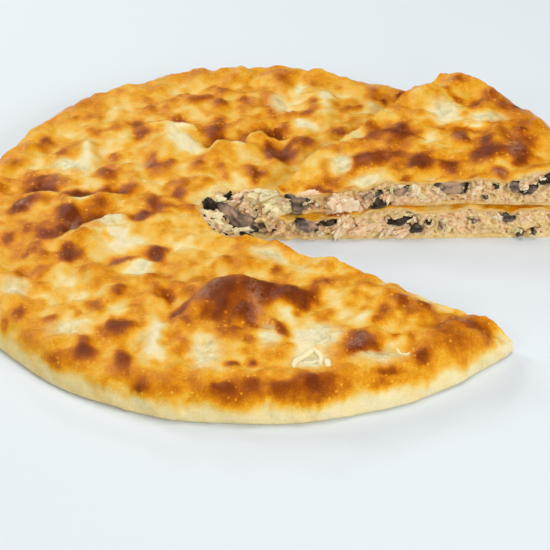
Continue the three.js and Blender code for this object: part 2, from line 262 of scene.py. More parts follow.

# Places where the dough stayed pale, and two strips painted paler along ridges as painted highlights: x, y,
# along, across, turn, browning.
pie_pale_and_highlight_places = [
    (-76, -16, 12, 5, 25, -0.22),
    (-72, -36, 16, 8, 10, -0.10),
    (-60, -60, 9, 9, 0, -0.25),
    (-99, -70, 8, 9, 0, -0.26),
    (-122, -74, 8, 9, 0, -0.20),
    (-88, -107, 12, 7, 0, -0.26),
    (-53, -128, 8, 12, 0, -0.20),
    # A painted highlight along the ridge beside it.
    (-47, -122, 6, 20, 0, -0.28),
    (-24, -126, 9, 14, 0, -0.28),
    (6, -112, 6, 12, 0, -0.26),
    (14, -93, 4, 9, 20, -0.24),
    (32, -113, 11, 10, 0, -0.22),
    (28, -130, 9, 8, 0, -0.28),
    (60, -130, 14, 6, 5, -0.25),
    (48, -100, 9, 8, 0, -0.18),
    (68, -120, 6, 6, 0, -0.20),
    (6, -44, 10, 7, -25, -0.22),
    (-104, 40, 13, 6, -10, -0.28),
    (-96, 56, 4, 14, 5, -0.30),
    (-85, 101, 5, 6, 0, -0.28),
    (-62, 92, 12, 5, -20, -0.22),
    (-38, 134, 8, 6, 0, -0.20),
    (-46, 64, 10, 12, 0, -0.34),
    # A painted highlight down the side of the dome here.
    (40, 114, 4, 13, 0, -0.30),
    (12, 110, 6, 13, 5, -0.24),
    (26, 84, 9, 11, 0, -0.18),
    (24, 128, 4, 13, -8, -0.24),
    (-28, 15, 9, 5, 30, -0.26),
    (-30, -34, 12, 9, 0, -0.12),
]

# Places where the dough is stretched so thin that the filling shows through: x, y, along, across, turn.
pie_thin_places = [
    (-24, -127, 9, 13, 0),
    (-93, -108, 10, 7, 10),
    (-122, -74, 8, 9, 0),
    (7, -114, 6, 11, 0),
    (33, -113, 12, 10, 0),
    (28, -130, 10, 9, 0),
    (58, -129, 14, 7, 5),
    (-105, 39, 14, 7, -10),
    (12, 109, 6, 14, 5),
    (6, -44, 11, 7, -25),
    (-58, -60, 6, 8, 0),
    (-78, -17, 8, 6, 25),
]

# Dark places with a painted greyish-lilac sheen on their skin: x, y, along, across, turn.
pie_painted_sheen_places = [
    (-25, -86, 11, 6, 38),
    (0, -94, 6, 15, 0),
    (50, -119, 9, 6, 42),
    (-92, -20, 12, 8, 25),
    (-125, 0, 6, 5, 0),
    (-110, 22, 8, 6, 0),
    (-24, 64, 6, 4, 0),
    (8, 55, 6, 5, 0),
    (-62, 42, 6, 4, 20),
]

# Broad stretches that baked darker or lighter than the rest: x, y, along, across, turn, browning.
pie_zones = [
    (-120, 5, 34, 45, 0, 0.10),
    (-110, -115, 18, 18, 0, 0.08),
    (-10, 112, 34, 36, 0, 0.12),
    (-60, 105, 40, 20, 20, 0.06),
    (-20, 80, 30, 18, 0, 0.10),
    (10, 62, 20, 26, 0, 0.10),
    (103, -114, 40, 30, -20, 0.20),
    (15, -152, 100, 17, 0, 0.06),
    (-60, -141, 50, 15, -20, 0.06),
    (25, -118, 42, 16, 0, -0.10),
    (-80, -75, 55, 50, 0, -0.085),
    (-75, 55, 55, 50, 0, -0.05),
    (-75, -28, 36, 18, 15, -0.12),
    (-75, -91, 28, 14, 0, 0.10),
    (-40, -30, 30, 16, 0, -0.06),
    (75, 118, 30, 12, -20, 0.08),
    (85, -4, 85, 9, 0, 0.06),
]

# Folds in the top: points along the ridge with the steep side on its left, then height and reach.
pie_folds = [
    ([(-108, -37), (-95, -29), (-88, -20), (-80, -13), (-68, -12)], 4.0, 9.0),
    ([(-107, 2), (-90, 4), (-66, 8)], 3.2, 8.0),
    ([(-133, 13), (-118, 11), (-106, 10)], 2.2, 7.0),
    ([(-73, 84), (-63, 81), (-50, 83), (-38, 79), (-31, 66)], 3.4, 9.0),
    ([(-66, -13), (-50, -11)], 2.0, 7.0),
    ([(-74, -58), (-60, -52), (-46, -54)], 1.0, 7.0),
    ([(-30, 52), (-25, 57), (-21, 59), (-13, 58), (-3, 56)], 3.8, 8.0),
    ([(-11, 58), (-5, 67), (2, 75), (6, 70), (15, 65), (26, 63)], 4.4, 9.0),
]


def smooth(value, start, end):
    """Rises from 0 at start to 1 at end, level at both."""
    share = np.clip((value - start) / (end - start), 0.0, 1.0)
    return share * share * (3.0 - 2.0 * share)


def lumps(x, y, size, seed):
    """Smooth noise between about -1 and 1, with lumps of the given size."""
    pairs = zip((x / size).tolist(), (y / size).tolist())
    return np.array([noise.noise((a, b, seed)) for a, b in pairs])


def spot_distance(x, y, spot, lean=0.0):
    """Distance from a spot's middle, 1 on its outline; a lean makes the far side the steeper one."""
    turn = math.radians(spot[4])
    dx = x - spot[0]
    dy = y - spot[1]
    u = dx * math.cos(turn) + dy * math.sin(turn)
    v = dy * math.cos(turn) - dx * math.sin(turn)
    width = np.where(v > 0, spot[3] * (1.0 - lean), spot[3] * (1.0 + lean / 2.0))
    return np.hypot(u / spot[2], v / width)


def soft_fall(distance):
    """A rounded swelling, 1 in the middle and 0 from its outline on."""
    inside = np.clip(1.0 - distance * distance, 0.0, 1.0)
    return inside * inside


def blister_fall(distance):
    """A small blister in the skin, steeper at its foot than a swelling."""
    return np.clip(1.0 - (0.92 * distance) ** 2, 0.0, 1.0) ** 1.3


def spot_fall(distance):
    """A browned spot: full over its middle, then a short edge inside a wide faint halo."""
    return 0.56 * (1.0 - smooth(distance, 0.20, 1.20)) + 0.44 * soft_fall(distance / 1.8)


def add_spots(field, x, y, spots, column, fall):
    """Adds one column of the spots to a field, each only where it reaches."""
    for spot in spots:
        reach = 2.0 * max(spot[2], spot[3])
        near = np.flatnonzero((np.abs(x - spot[0]) < reach) & (np.abs(y - spot[1]) < reach))
        field[near] += spot[column] * fall(spot_distance(x[near], y[near], spot))


def small_spots(seed, count, left, right, low, high):
    """Small blisters scattered over a stretch of crust, most of them tiny."""
    draw = np.random.default_rng(seed)
    spots = []
    for _ in range(count):
        size = 2.6 + 5.5 * draw.random() ** 2
        spots.append((
            draw.uniform(left, right), draw.uniform(low, high),
            size * draw.uniform(0.8, 1.4), size, draw.uniform(0.0, 180.0),
            draw.uniform(0.15, 0.8), draw.uniform(0.04, 0.20),
        ))
    return spots


def fold_side(x, y, line):
    """Distance from a fold's line, the side of it, positive on its left, and how strong it is there."""
    nearest = np.full(x.shape, 1e6)
    side = np.zeros(x.shape)
    passed = np.zeros(x.shape)
    done = 0.0
    for (ax, ay), (bx, by) in zip(line[:-1], line[1:]):
        length = math.hypot(bx - ax, by - ay)
        ux, uy = (bx - ax) / length, (by - ay) / length
        along = np.clip((x - ax) * ux + (y - ay) * uy, 0.0, length)
        dx = x - ax - along * ux
        dy = y - ay - along * uy
        distance = np.hypot(dx, dy)
        closer = distance < nearest
        nearest = np.where(closer, distance, nearest)
        side = np.where(closer, ux * dy - uy * dx, side)
        passed = np.where(closer, done + along, passed)
        done += length
    strength = smooth(passed / done, 0.0, 0.28) * (1.0 - smooth(passed / done, 0.72, 1.0))
    return nearest, side, strength


def fold_rise(x, y, fold):
    """A fold's ridge: a soft slope on its right, a steep drop and a hollow on its left."""
    line, height, reach = fold
    distance, side, strength = fold_side(x, y, line)
    slope = np.exp(-(distance / reach) ** 2)
    drop = np.exp(-(distance / (0.26 * reach)) ** 2)
    hollow = 0.3 * np.exp(-((distance - 0.7 * reach) / (0.4 * reach)) ** 2)
    return height * strength * np.where(side < 0, slope, drop - hollow)


def fold_shade_and_highlight(x, y, fold):
    """Painted shade in the groove just behind a fold, added as browning, and a painted highlight on the ridge
    itself, which is paler.
    """
    line, _, reach = fold
    distance, side, strength = fold_side(x, y, line)
    groove = np.exp(-((distance - 0.55 * reach) / (0.45 * reach)) ** 2)
    crest = np.exp(-(distance / (0.3 * reach)) ** 2)
    return strength * np.where(side < 0, -0.6 * crest, groove)


def drift(x, y, seed):
    """Shifts points in broad waves, so that folds run in uneven lines."""
    dx = 3.0 * lumps(x, y, 26.0, seed + 60.0)
    dy = 3.0 * lumps(x, y, 26.0, seed + 61.0)
    return x + dx, y + dy


def wander(x, y, seed):
    """Shifts points a little, so that spots and folds have uneven outlines."""
    dx = 1.8 * lumps(x, y, 13.0, seed) + 0.6 * lumps(x, y, 4.5, seed + 1.0)
    dy = 1.8 * lumps(x, y, 13.0, seed + 2.0) + 0.6 * lumps(x, y, 4.5, seed + 3.0)
    return x + dx, y + dy


def dough_lumps(x, y, seed):
    """The unevenness of baked dough all over its top."""
    rise = 2.0 * lumps(x, y, 44.0, seed + 1.0) + 2.2 * lumps(x, y, 20.0, seed)
    rise += 2.6 * np.abs(lumps(x, y, 15.0, seed + 7.0)) - 0.65
    rise += 1.3 * lumps(x, y, 9.0, seed + 5.0) + 0.7 * lumps(x, y, 6.0, seed + 11.0)
    return rise + 0.65 * lumps(x, y, 3.6, seed + 9.0)


def crust_relief(x, y, marks, seed):
    """Rise of a baked top over the plain round, from its swellings, blisters, folds and lumps."""
    wx, wy = wander(x, y, seed)
    rise = dough_lumps(x, y, seed)
    for swell in marks["swells"]:
        rise += swell[5] * soft_fall(spot_distance(wx, wy, swell, swell[6]))
    add_spots(rise, wx, wy, marks["blisters"], 5, blister_fall)
    fx, fy = drift(x, y, seed)
    for fold in marks["folds"]:
        rise += fold_rise(fx, fy, fold)
    return rise


plain_browning = 0.265
rim_browning = 0.12
most_browning = 0.9


def crust_browning_and_shade(x, y, marks, seed, rim):
    """How brown a baked top is, from 0, pale dough, to 1, dark, with painted shade and highlights from its
    folds and creases; it is more even along the rim.
    """
    wx, wy = wander(x, y, seed)
    marble = lumps(wx, wy, 15.0, seed + 44.0) + 0.65 * lumps(wx, wy, 6.5, seed + 45.0)
    uneven = 1.0 - 0.6 * rim
    brown = plain_browning + rim_browning * rim + 0.035 * uneven * dough_lumps(x, y, seed)
    patchy = 0.15 + 0.05 * smooth(-y, 30.0, 90.0)
    brown += uneven * (patchy * np.tanh(2.4 * marble) + 0.06 * lumps(x, y, 3.6, seed + 47.0))
    brown += 0.10 * lumps(x, y, 30.0, seed + 40.0)
    add_spots(brown, wx, wy, marks["zones"], 5, soft_fall)
    add_spots(brown, wx, wy, marks["blisters"], 6, spot_fall)
    add_spots(brown, wx, wy, marks["pale"], 5, spot_fall)
    fx, fy = drift(x, y, seed)
    # The folds add painted shade in their grooves and a painted highlight on their ridges.
    for fold in marks["folds"]:
        brown += 0.3 * fold_shade_and_highlight(fx, fy, fold)
    brown += 0.1 * np.clip(brown - 0.40, 0.0, 1.0)
    return np.clip(brown, 0.0, most_browning)


def cloudy_patches(x, y, places, seed):
    """How far the skin has changed in and round the places, from 0 to 0.85, in cloudy patches."""
    wx, wy = wander(x, y, seed + 50.0)
    patches = np.zeros(x.shape)
    for place in places:
        patches += soft_fall(spot_distance(wx, wy, place) / 1.3)
    return np.clip(patches * (0.75 + 0.7 * lumps(x, y, 5.0, seed + 53.0)), 0.0, 0.85)


# The slice laid on the pie covers and flattens the top from its point outwards.
slice_apex = (4.0, -1.8)
slice_angle = math.radians(48.5)


def depth_under_slice(x, y):
    """How far in from the slice's two straight edges a point lies."""
    dx = x - slice_apex[0]
    dy = y - slice_apex[1]
    return np.minimum(dy, dx * math.sin(slice_angle) - dy * math.cos(slice_angle))


def bare_share(x, y):
    """1 where the pie's top lies bare, 0 where the slice lies on it."""
    return 1.0 - smooth(depth_under_slice(x, y), -4.0, 4.0)


def settled_rise(x, y):
    """The broad sag and swell of the pie's top, with gentle waves, which the slice settles into too."""
    waves = 1.4 * lumps(x, y, 20.0, 15.0) + 0.8 * lumps(x, y, 8.0, 16.0)
    return waves + sum(part[5] * soft_fall(spot_distance(x, y, part)) for part in settled_parts)


hollow_from_rim = 28.0
hollow_reach = 14.0
hollow_depth = 2.0
crest_from_rim = 11.0
crest_reach = 20.0


def rim_hollow(from_rim):
    """The shallow dip that runs round just inside the rim's crest."""
    return -hollow_depth * soft_fall(np.abs(from_rim - hollow_from_rim) / hollow_reach)


def rim_share(from_rim):
    """1 on the rim's browned crest, falling to 0 on either side of it."""
    return soft_fall((from_rim - crest_from_rim) / crest_reach)


pie_small_spots = [spot for spot in small_spots(5, 420, -160.0, 160.0, -160.0, 160.0)
                   if math.hypot(spot[0], spot[1]) < pie_radius - 20.0]
pie_marks = {
    "swells": pie_swells,
    "blisters": pie_blisters + pie_small_spots,
    "pale": pie_pale_and_highlight_places,
    "zones": pie_zones,
    "folds": pie_folds,
}
pie_seed = 3.0


def pie_rise(x, y):
    """Rise of the pie's baked top, as if nothing lay on it."""
    return crust_relief(x, y, pie_marks, pie_seed) + rim_hollow(pie_radius - np.hypot(x, y))


def pie_relief(x, y):
    """Height of the pie's top above the plain round."""
    return settled_rise(x, y) + bare_share(x, y) * pie_rise(x, y)


# The side of the rim is pale up to the first of these heights and browned from the second on.
pale_side = (6.8, 14.5)


def pie_browning_and_shade(x, y, z):
    """How brown the pie's skin is, with painted shade and highlights: its rim has a browned crest over a pale
    side, painted darker towards the left.
    """
    from_rim = pie_radius - np.hypot(x, y)
    brown = crust_browning_and_shade(x, y, pie_marks, pie_seed, rim_share(from_rim))
    edge = z + 3.0 * lumps(x, y, 11.0, 60.0) + 2.0 * lumps(x, y, 3.5, 61.0)
    # The side's tone is painted browner to the left and paler to the right, as painted shade and painted
    # light, over its own uneven tone from the lumps.
    side_tone_and_shade = 0.08 - 0.06 * smooth(x, -110.0, 60.0) + 0.07 * lumps(x + z, y, 7.0, 62.0)
    return side_tone_and_shade + (brown - side_tone_and_shade) * smooth(edge, *pale_side)


def rim_profile(radius, height, crest, widest, foot):
    """Length along the dough's outside, from mid top to foot, with the radius and height there."""
    angle = np.linspace(0.0, math.pi / 2, 24)
    crest_r = radius - crest * (1.0 - np.sin(angle))
    crest_z = widest + (height - widest) * np.cos(angle)
    foot_r = radius - foot * (1.0 - np.cos(angle))
    foot_z = widest * (1.0 - np.sin(angle))
    r = np.concatenate([[0.0], crest_r, foot_r[1:]])
    z = np.concatenate([[height], crest_z, foot_z[1:]])
    length = np.concatenate([[0.0], np.cumsum(np.hypot(np.diff(r), np.diff(z)))])
    return length, r, z


def dough_round(cells, profile):
    """A closed round: a square sheet drawn to a disc over top and rim, then rings underneath."""
    dough = bmesh.new()
    bmesh.ops.create_grid(dough, x_segments=cells, y_segments=cells, size=1.0)
    rim = [edge for edge in dough.edges if edge.is_boundary]
    for _ in range(underside_rings):
        made = bmesh.ops.extrude_edge_only(dough, edges=rim)["geom"]
        rim = [part for part in made if isinstance(part, bmesh.types.BMEdge)]
        foot = [part for part in made if isinstance(part, bmesh.types.BMVert)]
        bmesh.ops.translate(dough, verts=foot, vec=(0.0, 0.0, -1.0))
    middle = Vector((0.0, 0.0, -underside_rings))
    bmesh.ops.pointmerge(dough, verts=foot, merge_co=middle)
    bmesh.ops.recalc_face_normals(dough, faces=dough.faces)
    sheet = np.array([vert.co for vert in dough.verts])
    x = sheet[:, 0] * np.sqrt(1.0 - sheet[:, 1] ** 2 / 2.0)
    y = sheet[:, 1] * np.sqrt(1.0 - sheet[:, 0] ** 2 / 2.0)
    reach = np.hypot(x, y)
    bearing = np.arctan2(y, x)
    length, profile_r, profile_z = profile
    r = np.interp(reach * length[-1], length, profile_r)
    z = np.interp(reach * length[-1], length, profile_z)
    under = sheet[:, 2] < -0.5
    r = np.where(under, profile_r[-1] * (1.0 + sheet[:, 2] / underside_rings), r)
    z = np.where(under, 0.0, z)
    return dough, r * np.cos(bearing), r * np.sin(bearing), z


def place_vertices(mesh, x, y, z):
    """Moves a bmesh's vertices to the given places."""
    mesh.verts.ensure_lookup_table()
    for vert, place in zip(mesh.verts, np.column_stack([x, y, z]).tolist()):
        vert.co = place


def as_object(name, mesh, finishes):
    """Turns a bmesh into an object with the given finishes."""
    data = bpy.data.meshes.new(name)
    mesh.to_mesh(data)
    mesh.free()
    for finish in finishes:
        data.materials.append(finish)
    made = bpy.data.objects.new(name, data)
    bpy.context.collection.objects.link(made)
    return made


def as_cutter(name, mesh, finishes):
    """An object for cutting, whose faces leave the last of the finishes on the cut."""
    for face in mesh.faces:
        face.material_index = len(finishes) - 1
    return as_object(name, mesh, finishes)


def cut(piece, cutters):
    """Cuts, hollows or trims a piece with other objects, which are then thrown away."""
    for operation, tool in cutters:
        trim = piece.modifiers.new("cut", "BOOLEAN")
        trim.operation = operation
        trim.solver = "MANIFOLD"
        trim.object = tool
    graph = bpy.context.evaluated_depsgraph_get()
    result = bpy.data.meshes.new_from_object(piece.evaluated_get(graph))
    piece.modifiers.clear()
    piece.data = result
    for _, tool in cutters:
        bpy.data.objects.remove(tool)


def uneven_round(x, y):
    """Spreads or draws in the round by its lobes."""
    bearing = np.arctan2(y, x)
    swell = sum(size * np.sin(waves * bearing + phase) for waves, size, phase in rim_lobes)
    scale = 1.0 + swell / pie_radius
    return x * scale, y * scale


def curve_through(points, steps):
    """A smooth curve through the points, with the given steps between each two of them."""
    path = np.array(points, dtype=float)
    path = np.vstack([2 * path[0] - path[1], path, 2 * path[-1] - path[-2]])
    share = np.linspace(0.0, 1.0, steps, endpoint=False)[:, None]
    pieces = []
    for a, b, c, d in zip(path[:-3], path[1:-2], path[2:-1], path[3:]):
        bend = 2 * b + (c - a) * share + (2 * a - 5 * b + 4 * c - d) * share ** 2
        pieces.append((bend + (3 * b - a - 3 * c + d) * share ** 3) / 2)
    return np.vstack(pieces + [path[-2:-1]])


def cutter(name, low, high, heights, finishes, roughness):
    """A closed block behind a cut: its wall runs from the low path up to the high one.

    The heights are the lowest level, the highest and how many there are.
    """
    stations = len(low)
    levels = np.linspace(*heights)
    block = bmesh.new()
    bmesh.ops.create_grid(block, x_segments=stations - 1, y_segments=len(levels) - 1, size=1.0)
    block.verts.ensure_lookup_table()
    grid = np.array([vert.co for vert in block.verts])
    station = np.rint((grid[:, 0] + 1.0) / 2.0 * (stations - 1)).astype(int)
    z = levels[np.rint((grid[:, 1] + 1.0) / 2.0 * (len(levels) - 1)).astype(int)]
    share = np.clip(z / pie_height, -0.1, 1.4)
    x = low[station, 0] + (high[station, 0] - low[station, 0]) * share
    y = low[station, 1] + (high[station, 1] - low[station, 1]) * share
    ahead = np.gradient(low + high, axis=0)
    ahead /= np.hypot(ahead[:, 0], ahead[:, 1])[:, None]
    out = roughness(x, y, z)
    place_vertices(block, x - ahead[station, 1] * out, y + ahead[station, 0] * out, z)
    first = [block.verts[i] for i in np.flatnonzero(station == 0)]
    last = [block.verts[i] for i in np.flatnonzero(station == stations - 1)]
    for level in (levels[0], levels[-1]):
        ends = [vert for vert in first + last if abs(vert.co.z - level) < 1e-6]
        closing = block.edges.new(ends)
        ring = [edge for edge in block.edges if edge.is_boundary or edge is closing]
        ring = [e for e in ring if all(abs(v.co.z - level) < 1e-6 for v in e.verts)]
        bmesh.ops.edgeloop_fill(block, edges=ring)
    open_edges = [edge for edge in block.edges if edge.is_boundary]
    bmesh.ops.holes_fill(block, edges=open_edges)
    bmesh.ops.recalc_face_normals(block, faces=block.faces)
    return as_cutter(name, block, finishes)


def new_finish(name):
    """A material with its node tree and its Principled surface."""
    finish = bpy.data.materials.new(name)
    finish.use_nodes = True
    return finish, finish.node_tree, finish.node_tree.nodes["Principled BSDF"]


def add_node(tree, kind, sockets, **settings):
    """Adds a shader node, sets it and fills its sockets with values or with other nodes' outputs."""
    node = tree.nodes.new(kind)
    for key, value in settings.items():
        setattr(node, key, value)
    for socket, value in sockets.items():
        if isinstance(value, bpy.types.NodeSocket):
            tree.links.new(value, node.inputs[socket])
        else:
            node.inputs[socket].default_value = value
    return node


def set_inputs(node, values):
    """Sets a node's inputs to plain values."""
    for name, value in values.items():
        node.inputs[name].default_value = value


def add_bump(tree, surface, height, strength, distance):
    """Roughens a surface by a pattern of heights; the distance is in metres."""
    bump = add_node(tree, "ShaderNodeBump", {"Height": height, "Strength": strength, "Distance": distance})
    tree.links.new(bump.outputs["Normal"], surface.inputs["Normal"])


def stored(tree, name):
    """A value kept on the piece's points."""
    return add_node(tree, "ShaderNodeAttribute", {}, attribute_name=name).outputs["Fac"]


def colour_ramp(tree, share, stops):
    """Colours along a share from 0 to 1."""
    ramp = add_node(tree, "ShaderNodeValToRGB", {"Fac": share})
    band = ramp.color_ramp.elements
    while len(band) < len(stops):
        band.new(1.0)
    for element, (position, colour) in zip(band, stops):
        element.position = position
        element.color = (*colour, 1.0)
    return ramp.outputs["Color"]


def grain(tree, scale, detail, roughness):
    """Noise on the object's own coordinates, from 0 to 1; the scale is lumps for each metre."""
    place = add_node(tree, "ShaderNodeTexCoord", {})
    sockets = {"Vector": place.outputs["Object"], "Scale": scale, "Detail": detail}
    sockets["Roughness"] = roughness
    return add_node(tree, "ShaderNodeTexNoise", sockets).outputs["Fac"]


def scaled(tree, value, factor, offset):
    """A value multiplied and then shifted."""
    sockets = {0: value, 1: factor, 2: offset}
    return add_node(tree, "ShaderNodeMath", sockets, operation="MULTIPLY_ADD").outputs[0]


def total(tree, first, second):
    """Two values added."""
    return add_node(tree, "ShaderNodeMath", {0: first, 1: second}, operation="ADD").outputs[0]


def product(tree, first, second):
    """Two values multiplied."""
    return add_node(tree, "ShaderNodeMath", {0: first, 1: second}, operation="MULTIPLY").outputs[0]


def between(tree, value, start, end, most):
    """Rises smoothly from 0 at start to most at end, and holds on either side."""
    sockets = {"Value": value, "From Min": start, "From Max": end, "To Max": most}
    return add_node(tree, "ShaderNodeMapRange", sockets, interpolation_type="SMOOTHSTEP").outputs["Result"]


def blended(tree, share, first, second):
    """A colour between two others."""
    mix = add_node(tree, "ShaderNodeMix", {0: share, 6: first, 7: second}, data_type="RGBA")
    return mix.outputs[2]


def shaded(tree, colour, light):
    """A colour made darker or lighter by a factor."""
    inputs = {0: 1.0, 6: colour, 7: light}
    mix = add_node(tree, "ShaderNodeMix", inputs, data_type="RGBA", blend_type="MULTIPLY")
    return mix.outputs[2]


def bubbles_and_glints(tree, scale):
    """Pinhead bubbles, 1 on a bubble and 0 between, raised by the bump and painted paler as painted glints;
    the scale is places for each metre.
    """
    place = add_node(tree, "ShaderNodeTexCoord", {})
    cells = add_node(tree, "ShaderNodeTexVoronoi", {"Vector": place.outputs["Object"], "Scale": scale})
    dots = between(tree, scaled(tree, cells.outputs["Distance"], -1.0, 0.0), -0.34, -0.16, 1.0)
    chance = add_node(tree, "ShaderNodeSeparateColor", {"Color": cells.outputs["Color"]})
    kept = add_node(tree, "ShaderNodeMath", {0: chance.outputs[0], 1: 0.74}, operation="GREATER_THAN")
    return product(tree, dots, kept.outputs[0])


# Browning of buttered yeast dough, from raw-looking cream to almost burnt.
browning_stops = [
    (0.00, (0.91, 0.79, 0.47)),
    (0.08, (0.90, 0.69, 0.28)),
    (0.17, (0.88, 0.575, 0.145)),
    (0.27, (0.87, 0.468, 0.046)),
    (0.36, (0.82, 0.360, 0.013)),
    (0.45, (0.73, 0.260, 0.004)),
    (0.54, (0.59, 0.175, 0.002)),
    (0.64, (0.43, 0.100, 0.001)),
    (0.74, (0.30, 0.056, 0.001)),
    (0.85, (0.21, 0.034, 0.001)),
    (0.95, (0.14, 0.022, 0.002)),
]

# Stretched dough with the pale filling behind it.
thin_stops = [
    (0.34, (0.54, 0.48, 0.25)),
    (0.50, (0.74, 0.67, 0.39)),
    (0.64, (0.88, 0.82, 0.55)),
]


def baked_skin():
    """Browned skin: its colour follows the browning, with mottling, tiny bubbles painted paler as glints,
    painted sheen on some dark places, painted shade in fine pores, and butter gloss.
    """
    finish, tree, surface = new_finish("baked_skin")
    brown = stored(tree, "browning_and_shade")
    mottle = scaled(tree, grain(tree, 210.0, 6.0, 0.7), 0.44, -0.22)
    freckle = scaled(tree, grain(tree, 760.0, 3.0, 0.6), 0.24, -0.12)
    bubble_glint = bubbles_and_glints(tree, 340.0)
    speckle = product(tree, total(tree, mottle, freckle), between(tree, brown, 0.05, 0.32, 1.0))
    share = total(tree, brown, speckle)
    # The bubbles are painted paler on browned skin, as painted glints on their tops.
    bubble_glint = product(tree, bubble_glint, between(tree, brown, 0.25, 0.60, 1.0))
    share = total(tree, share, scaled(tree, bubble_glint, -0.24, 0.0))
    milky = colour_ramp(tree, grain(tree, 240.0, 4.0, 0.6), thin_stops)
    colour = blended(tree, stored(tree, "thin"), colour_ramp(tree, share, browning_stops), milky)
    # Painted sheen: a greyish-lilac colour mixed over cloudy patches of the sheen places, standing in for
    # light glossing the dark skin.
    cloud = between(tree, grain(tree, 300.0, 4.0, 0.65), 0.34, 0.62, 0.75)
    painted_sheen = product(tree, cloud, stored(tree, "painted_sheen"))
    colour = blended(tree, painted_sheen, colour, (0.52, 0.27, 0.165, 1.0))
    # Painted shade: fine pores darken the colour in their pits and lighten it between them.
    painted_pore_shade = scaled(tree, grain(tree, 800.0, 3.0, 0.7), 0.3, 0.86)
    tree.links.new(shaded(tree, colour, painted_pore_shade), surface.inputs["Base Color"])
    butter = scaled(tree, grain(tree, 120.0, 3.0, 0.5), 0.25, 0.15)
    roughness = total(tree, butter, scaled(tree, brown, -0.15, 0.0))
    tree.links.new(roughness, surface.inputs["Roughness"])
    wrinkles = total(tree, grain(tree, 330.0, 5.0, 0.65), scaled(tree, bubble_glint, 0.4, 0.0))
    wrinkles = total(tree, wrinkles, scaled(tree, grain(tree, 1300.0, 2.0, 0.5), 0.6, 0.0))
    add_bump(tree, surface, wrinkles, 0.6, 0.0014)
    set_inputs(surface, {
        "Specular IOR Level": 0.24,
        "Specular Tint": (1.0, 0.62, 0.28, 1.0),
        "Subsurface Weight": 0.08,
        "Subsurface Radius": (1.0, 0.55, 0.25),
        "Subsurface Scale": 0.002,
    })
    return finish


def cut_dough():
    """Cut or torn crumb of the dough: cream, matt and slightly open."""
    finish, tree, surface = new_finish("cut_dough")
    share = grain(tree, 320.0, 5.0, 0.65)
    stops = [(0.30, (0.62, 0.37, 0.12)), (0.5, (0.90, 0.62, 0.25)), (0.68, (0.96, 0.77, 0.40))]
    crumb = colour_ramp(tree, share, stops)
    golden = (0.74, 0.36, 0.035, 1.0)
    baked = scaled(tree, stored(tree, "browning_and_shade"), 1.3, 0.0)
    tree.links.new(blended(tree, baked, crumb, golden), surface.inputs["Base Color"])
    add_bump(tree, surface, share, 0.6, 0.0015)
    set_inputs(surface, {
        "Roughness": 0.7,
        "Specular IOR Level": 0.2,
        "Subsurface Weight": 0.2,
        "Subsurface Radius": (1.0, 0.7, 0.4),
        "Subsurface Scale": 0.003,
    })
    return finish


def finish_dough(piece, browning_and_shade, thin_places, painted_sheen_places, seed):
    """Stores how brown each point is, with its painted shade and highlights, how thin it is and where it has
    painted sheen, and brings the piece to metres.
    """
    data = piece.data
    places = np.empty(len(data.vertices) * 3)
    data.vertices.foreach_get("co", places)
    x, y, z = places.reshape(-1, 3).T
    brown = browning_and_shade(x, y, z)
    thin = cloudy_patches(x, y, thin_places, seed) * (1.0 - smooth(brown, 0.38, 0.55))
    # The sheen places carry a painted sheen, stored as its own value.
    painted_sheen = cloudy_patches(x, y, painted_sheen_places, seed + 9.0)
    values = {"browning_and_shade": brown, "thin": thin, "painted_sheen": painted_sheen}
    for name, value in values.items():
        layer = data.attributes.new(name, "FLOAT", "POINT")
        layer.data.foreach_set("value", value.astype(np.float32))
    finish_piece(piece)


crease_angle = math.radians(50.0)


def finish_piece(piece):
    """Brings a piece from millimetres to metres, with smooth shading that breaks at its edges."""
    piece.data.transform(Matrix.Scale(mm, 4))
    piece.data.shade_smooth()
    piece.data.set_sharp_from_angle(angle=crease_angle)
    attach(piece, "root")


dough_finishes = [baked_skin(), cut_dough()]

# The gap's wall from the far straight cut, round the torn middle, to the near straight cut:
# places at the base and places at the top.
far_cut_y = -6.4
far_cut_angle = math.radians(1.0)
near_cut_start = (9.0, -33.5)
near_cut_angle = math.radians(-31.0)
near_cut_slope = math.tan(near_cut_angle)
cut_reach = 235.0
far_cut_end = (17.0, far_cut_y + 17.0 * math.tan(far_cut_angle))
tear_spacing = 6.5
crust_step = 1.3
tear_low = [far_cut_end, (9, -6), (5, -5.6), (2, -5.4), (-1, -5.6), (-4, -7), (-6.5, -9.5), (-8, -13),
            (-8, -16), (-7, -20), (-4, -24), (-1, -27), (3, -29.5), (9, -33.5)]
tear_high = [far_cut_end, (10.5, -5.6), (5.5, -3), (3, 6), (-2, 17), (-15, 22), (-26, 17), (-32, 3),
             (-31, -8), (-28, -17.5), (-22, -26), (-14, -30.5), (-3, -31), (9, -33.5)]


def straight(start, end, step):
    """Evenly spaced points from start up to end, without the end."""
    start = np.array(start, dtype=float)
    end = np.array(end, dtype=float)
    count = int(np.hypot(*(end - start)) / step)
    return start + (end - start) * np.arange(count)[:, None] / count


def gap_path(tear, step):
    """The whole wall of the gap in plan, by way of the given places of the tear."""
    near_end = (cut_reach, near_cut_start[1] + (cut_reach - near_cut_start[0]) * near_cut_slope)
    far_end = (cut_reach, far_cut_y + cut_reach * math.tan(far_cut_angle))
    far = straight(far_end, far_cut_end, step)
    middle = curve_through(tear, int(tear_spacing / step))
    near = straight(near_cut_start, near_end, step)[1:]
    return np.vstack([far, middle, near])


def crust_cut(x, y, z):
    """A knife's slight wander through the crust, rougher where the crust was torn."""
    torn = 1.0 - smooth(np.hypot(x + 4.0, y + 6.0), 24.0, 44.0)
    return (0.5 + 1.3 * torn) * lumps(x + z, y, 6.0, 70.0) + 0.5 * lumps(x, y + z, 2.6, 71.0)


def gap_cutter(step, levels, finishes, roughness):
    """The block that takes the wedge out of the pie."""
    return cutter("gap", gap_path(tear_low, step), gap_path(tear_high, step), levels, finishes, roughness)


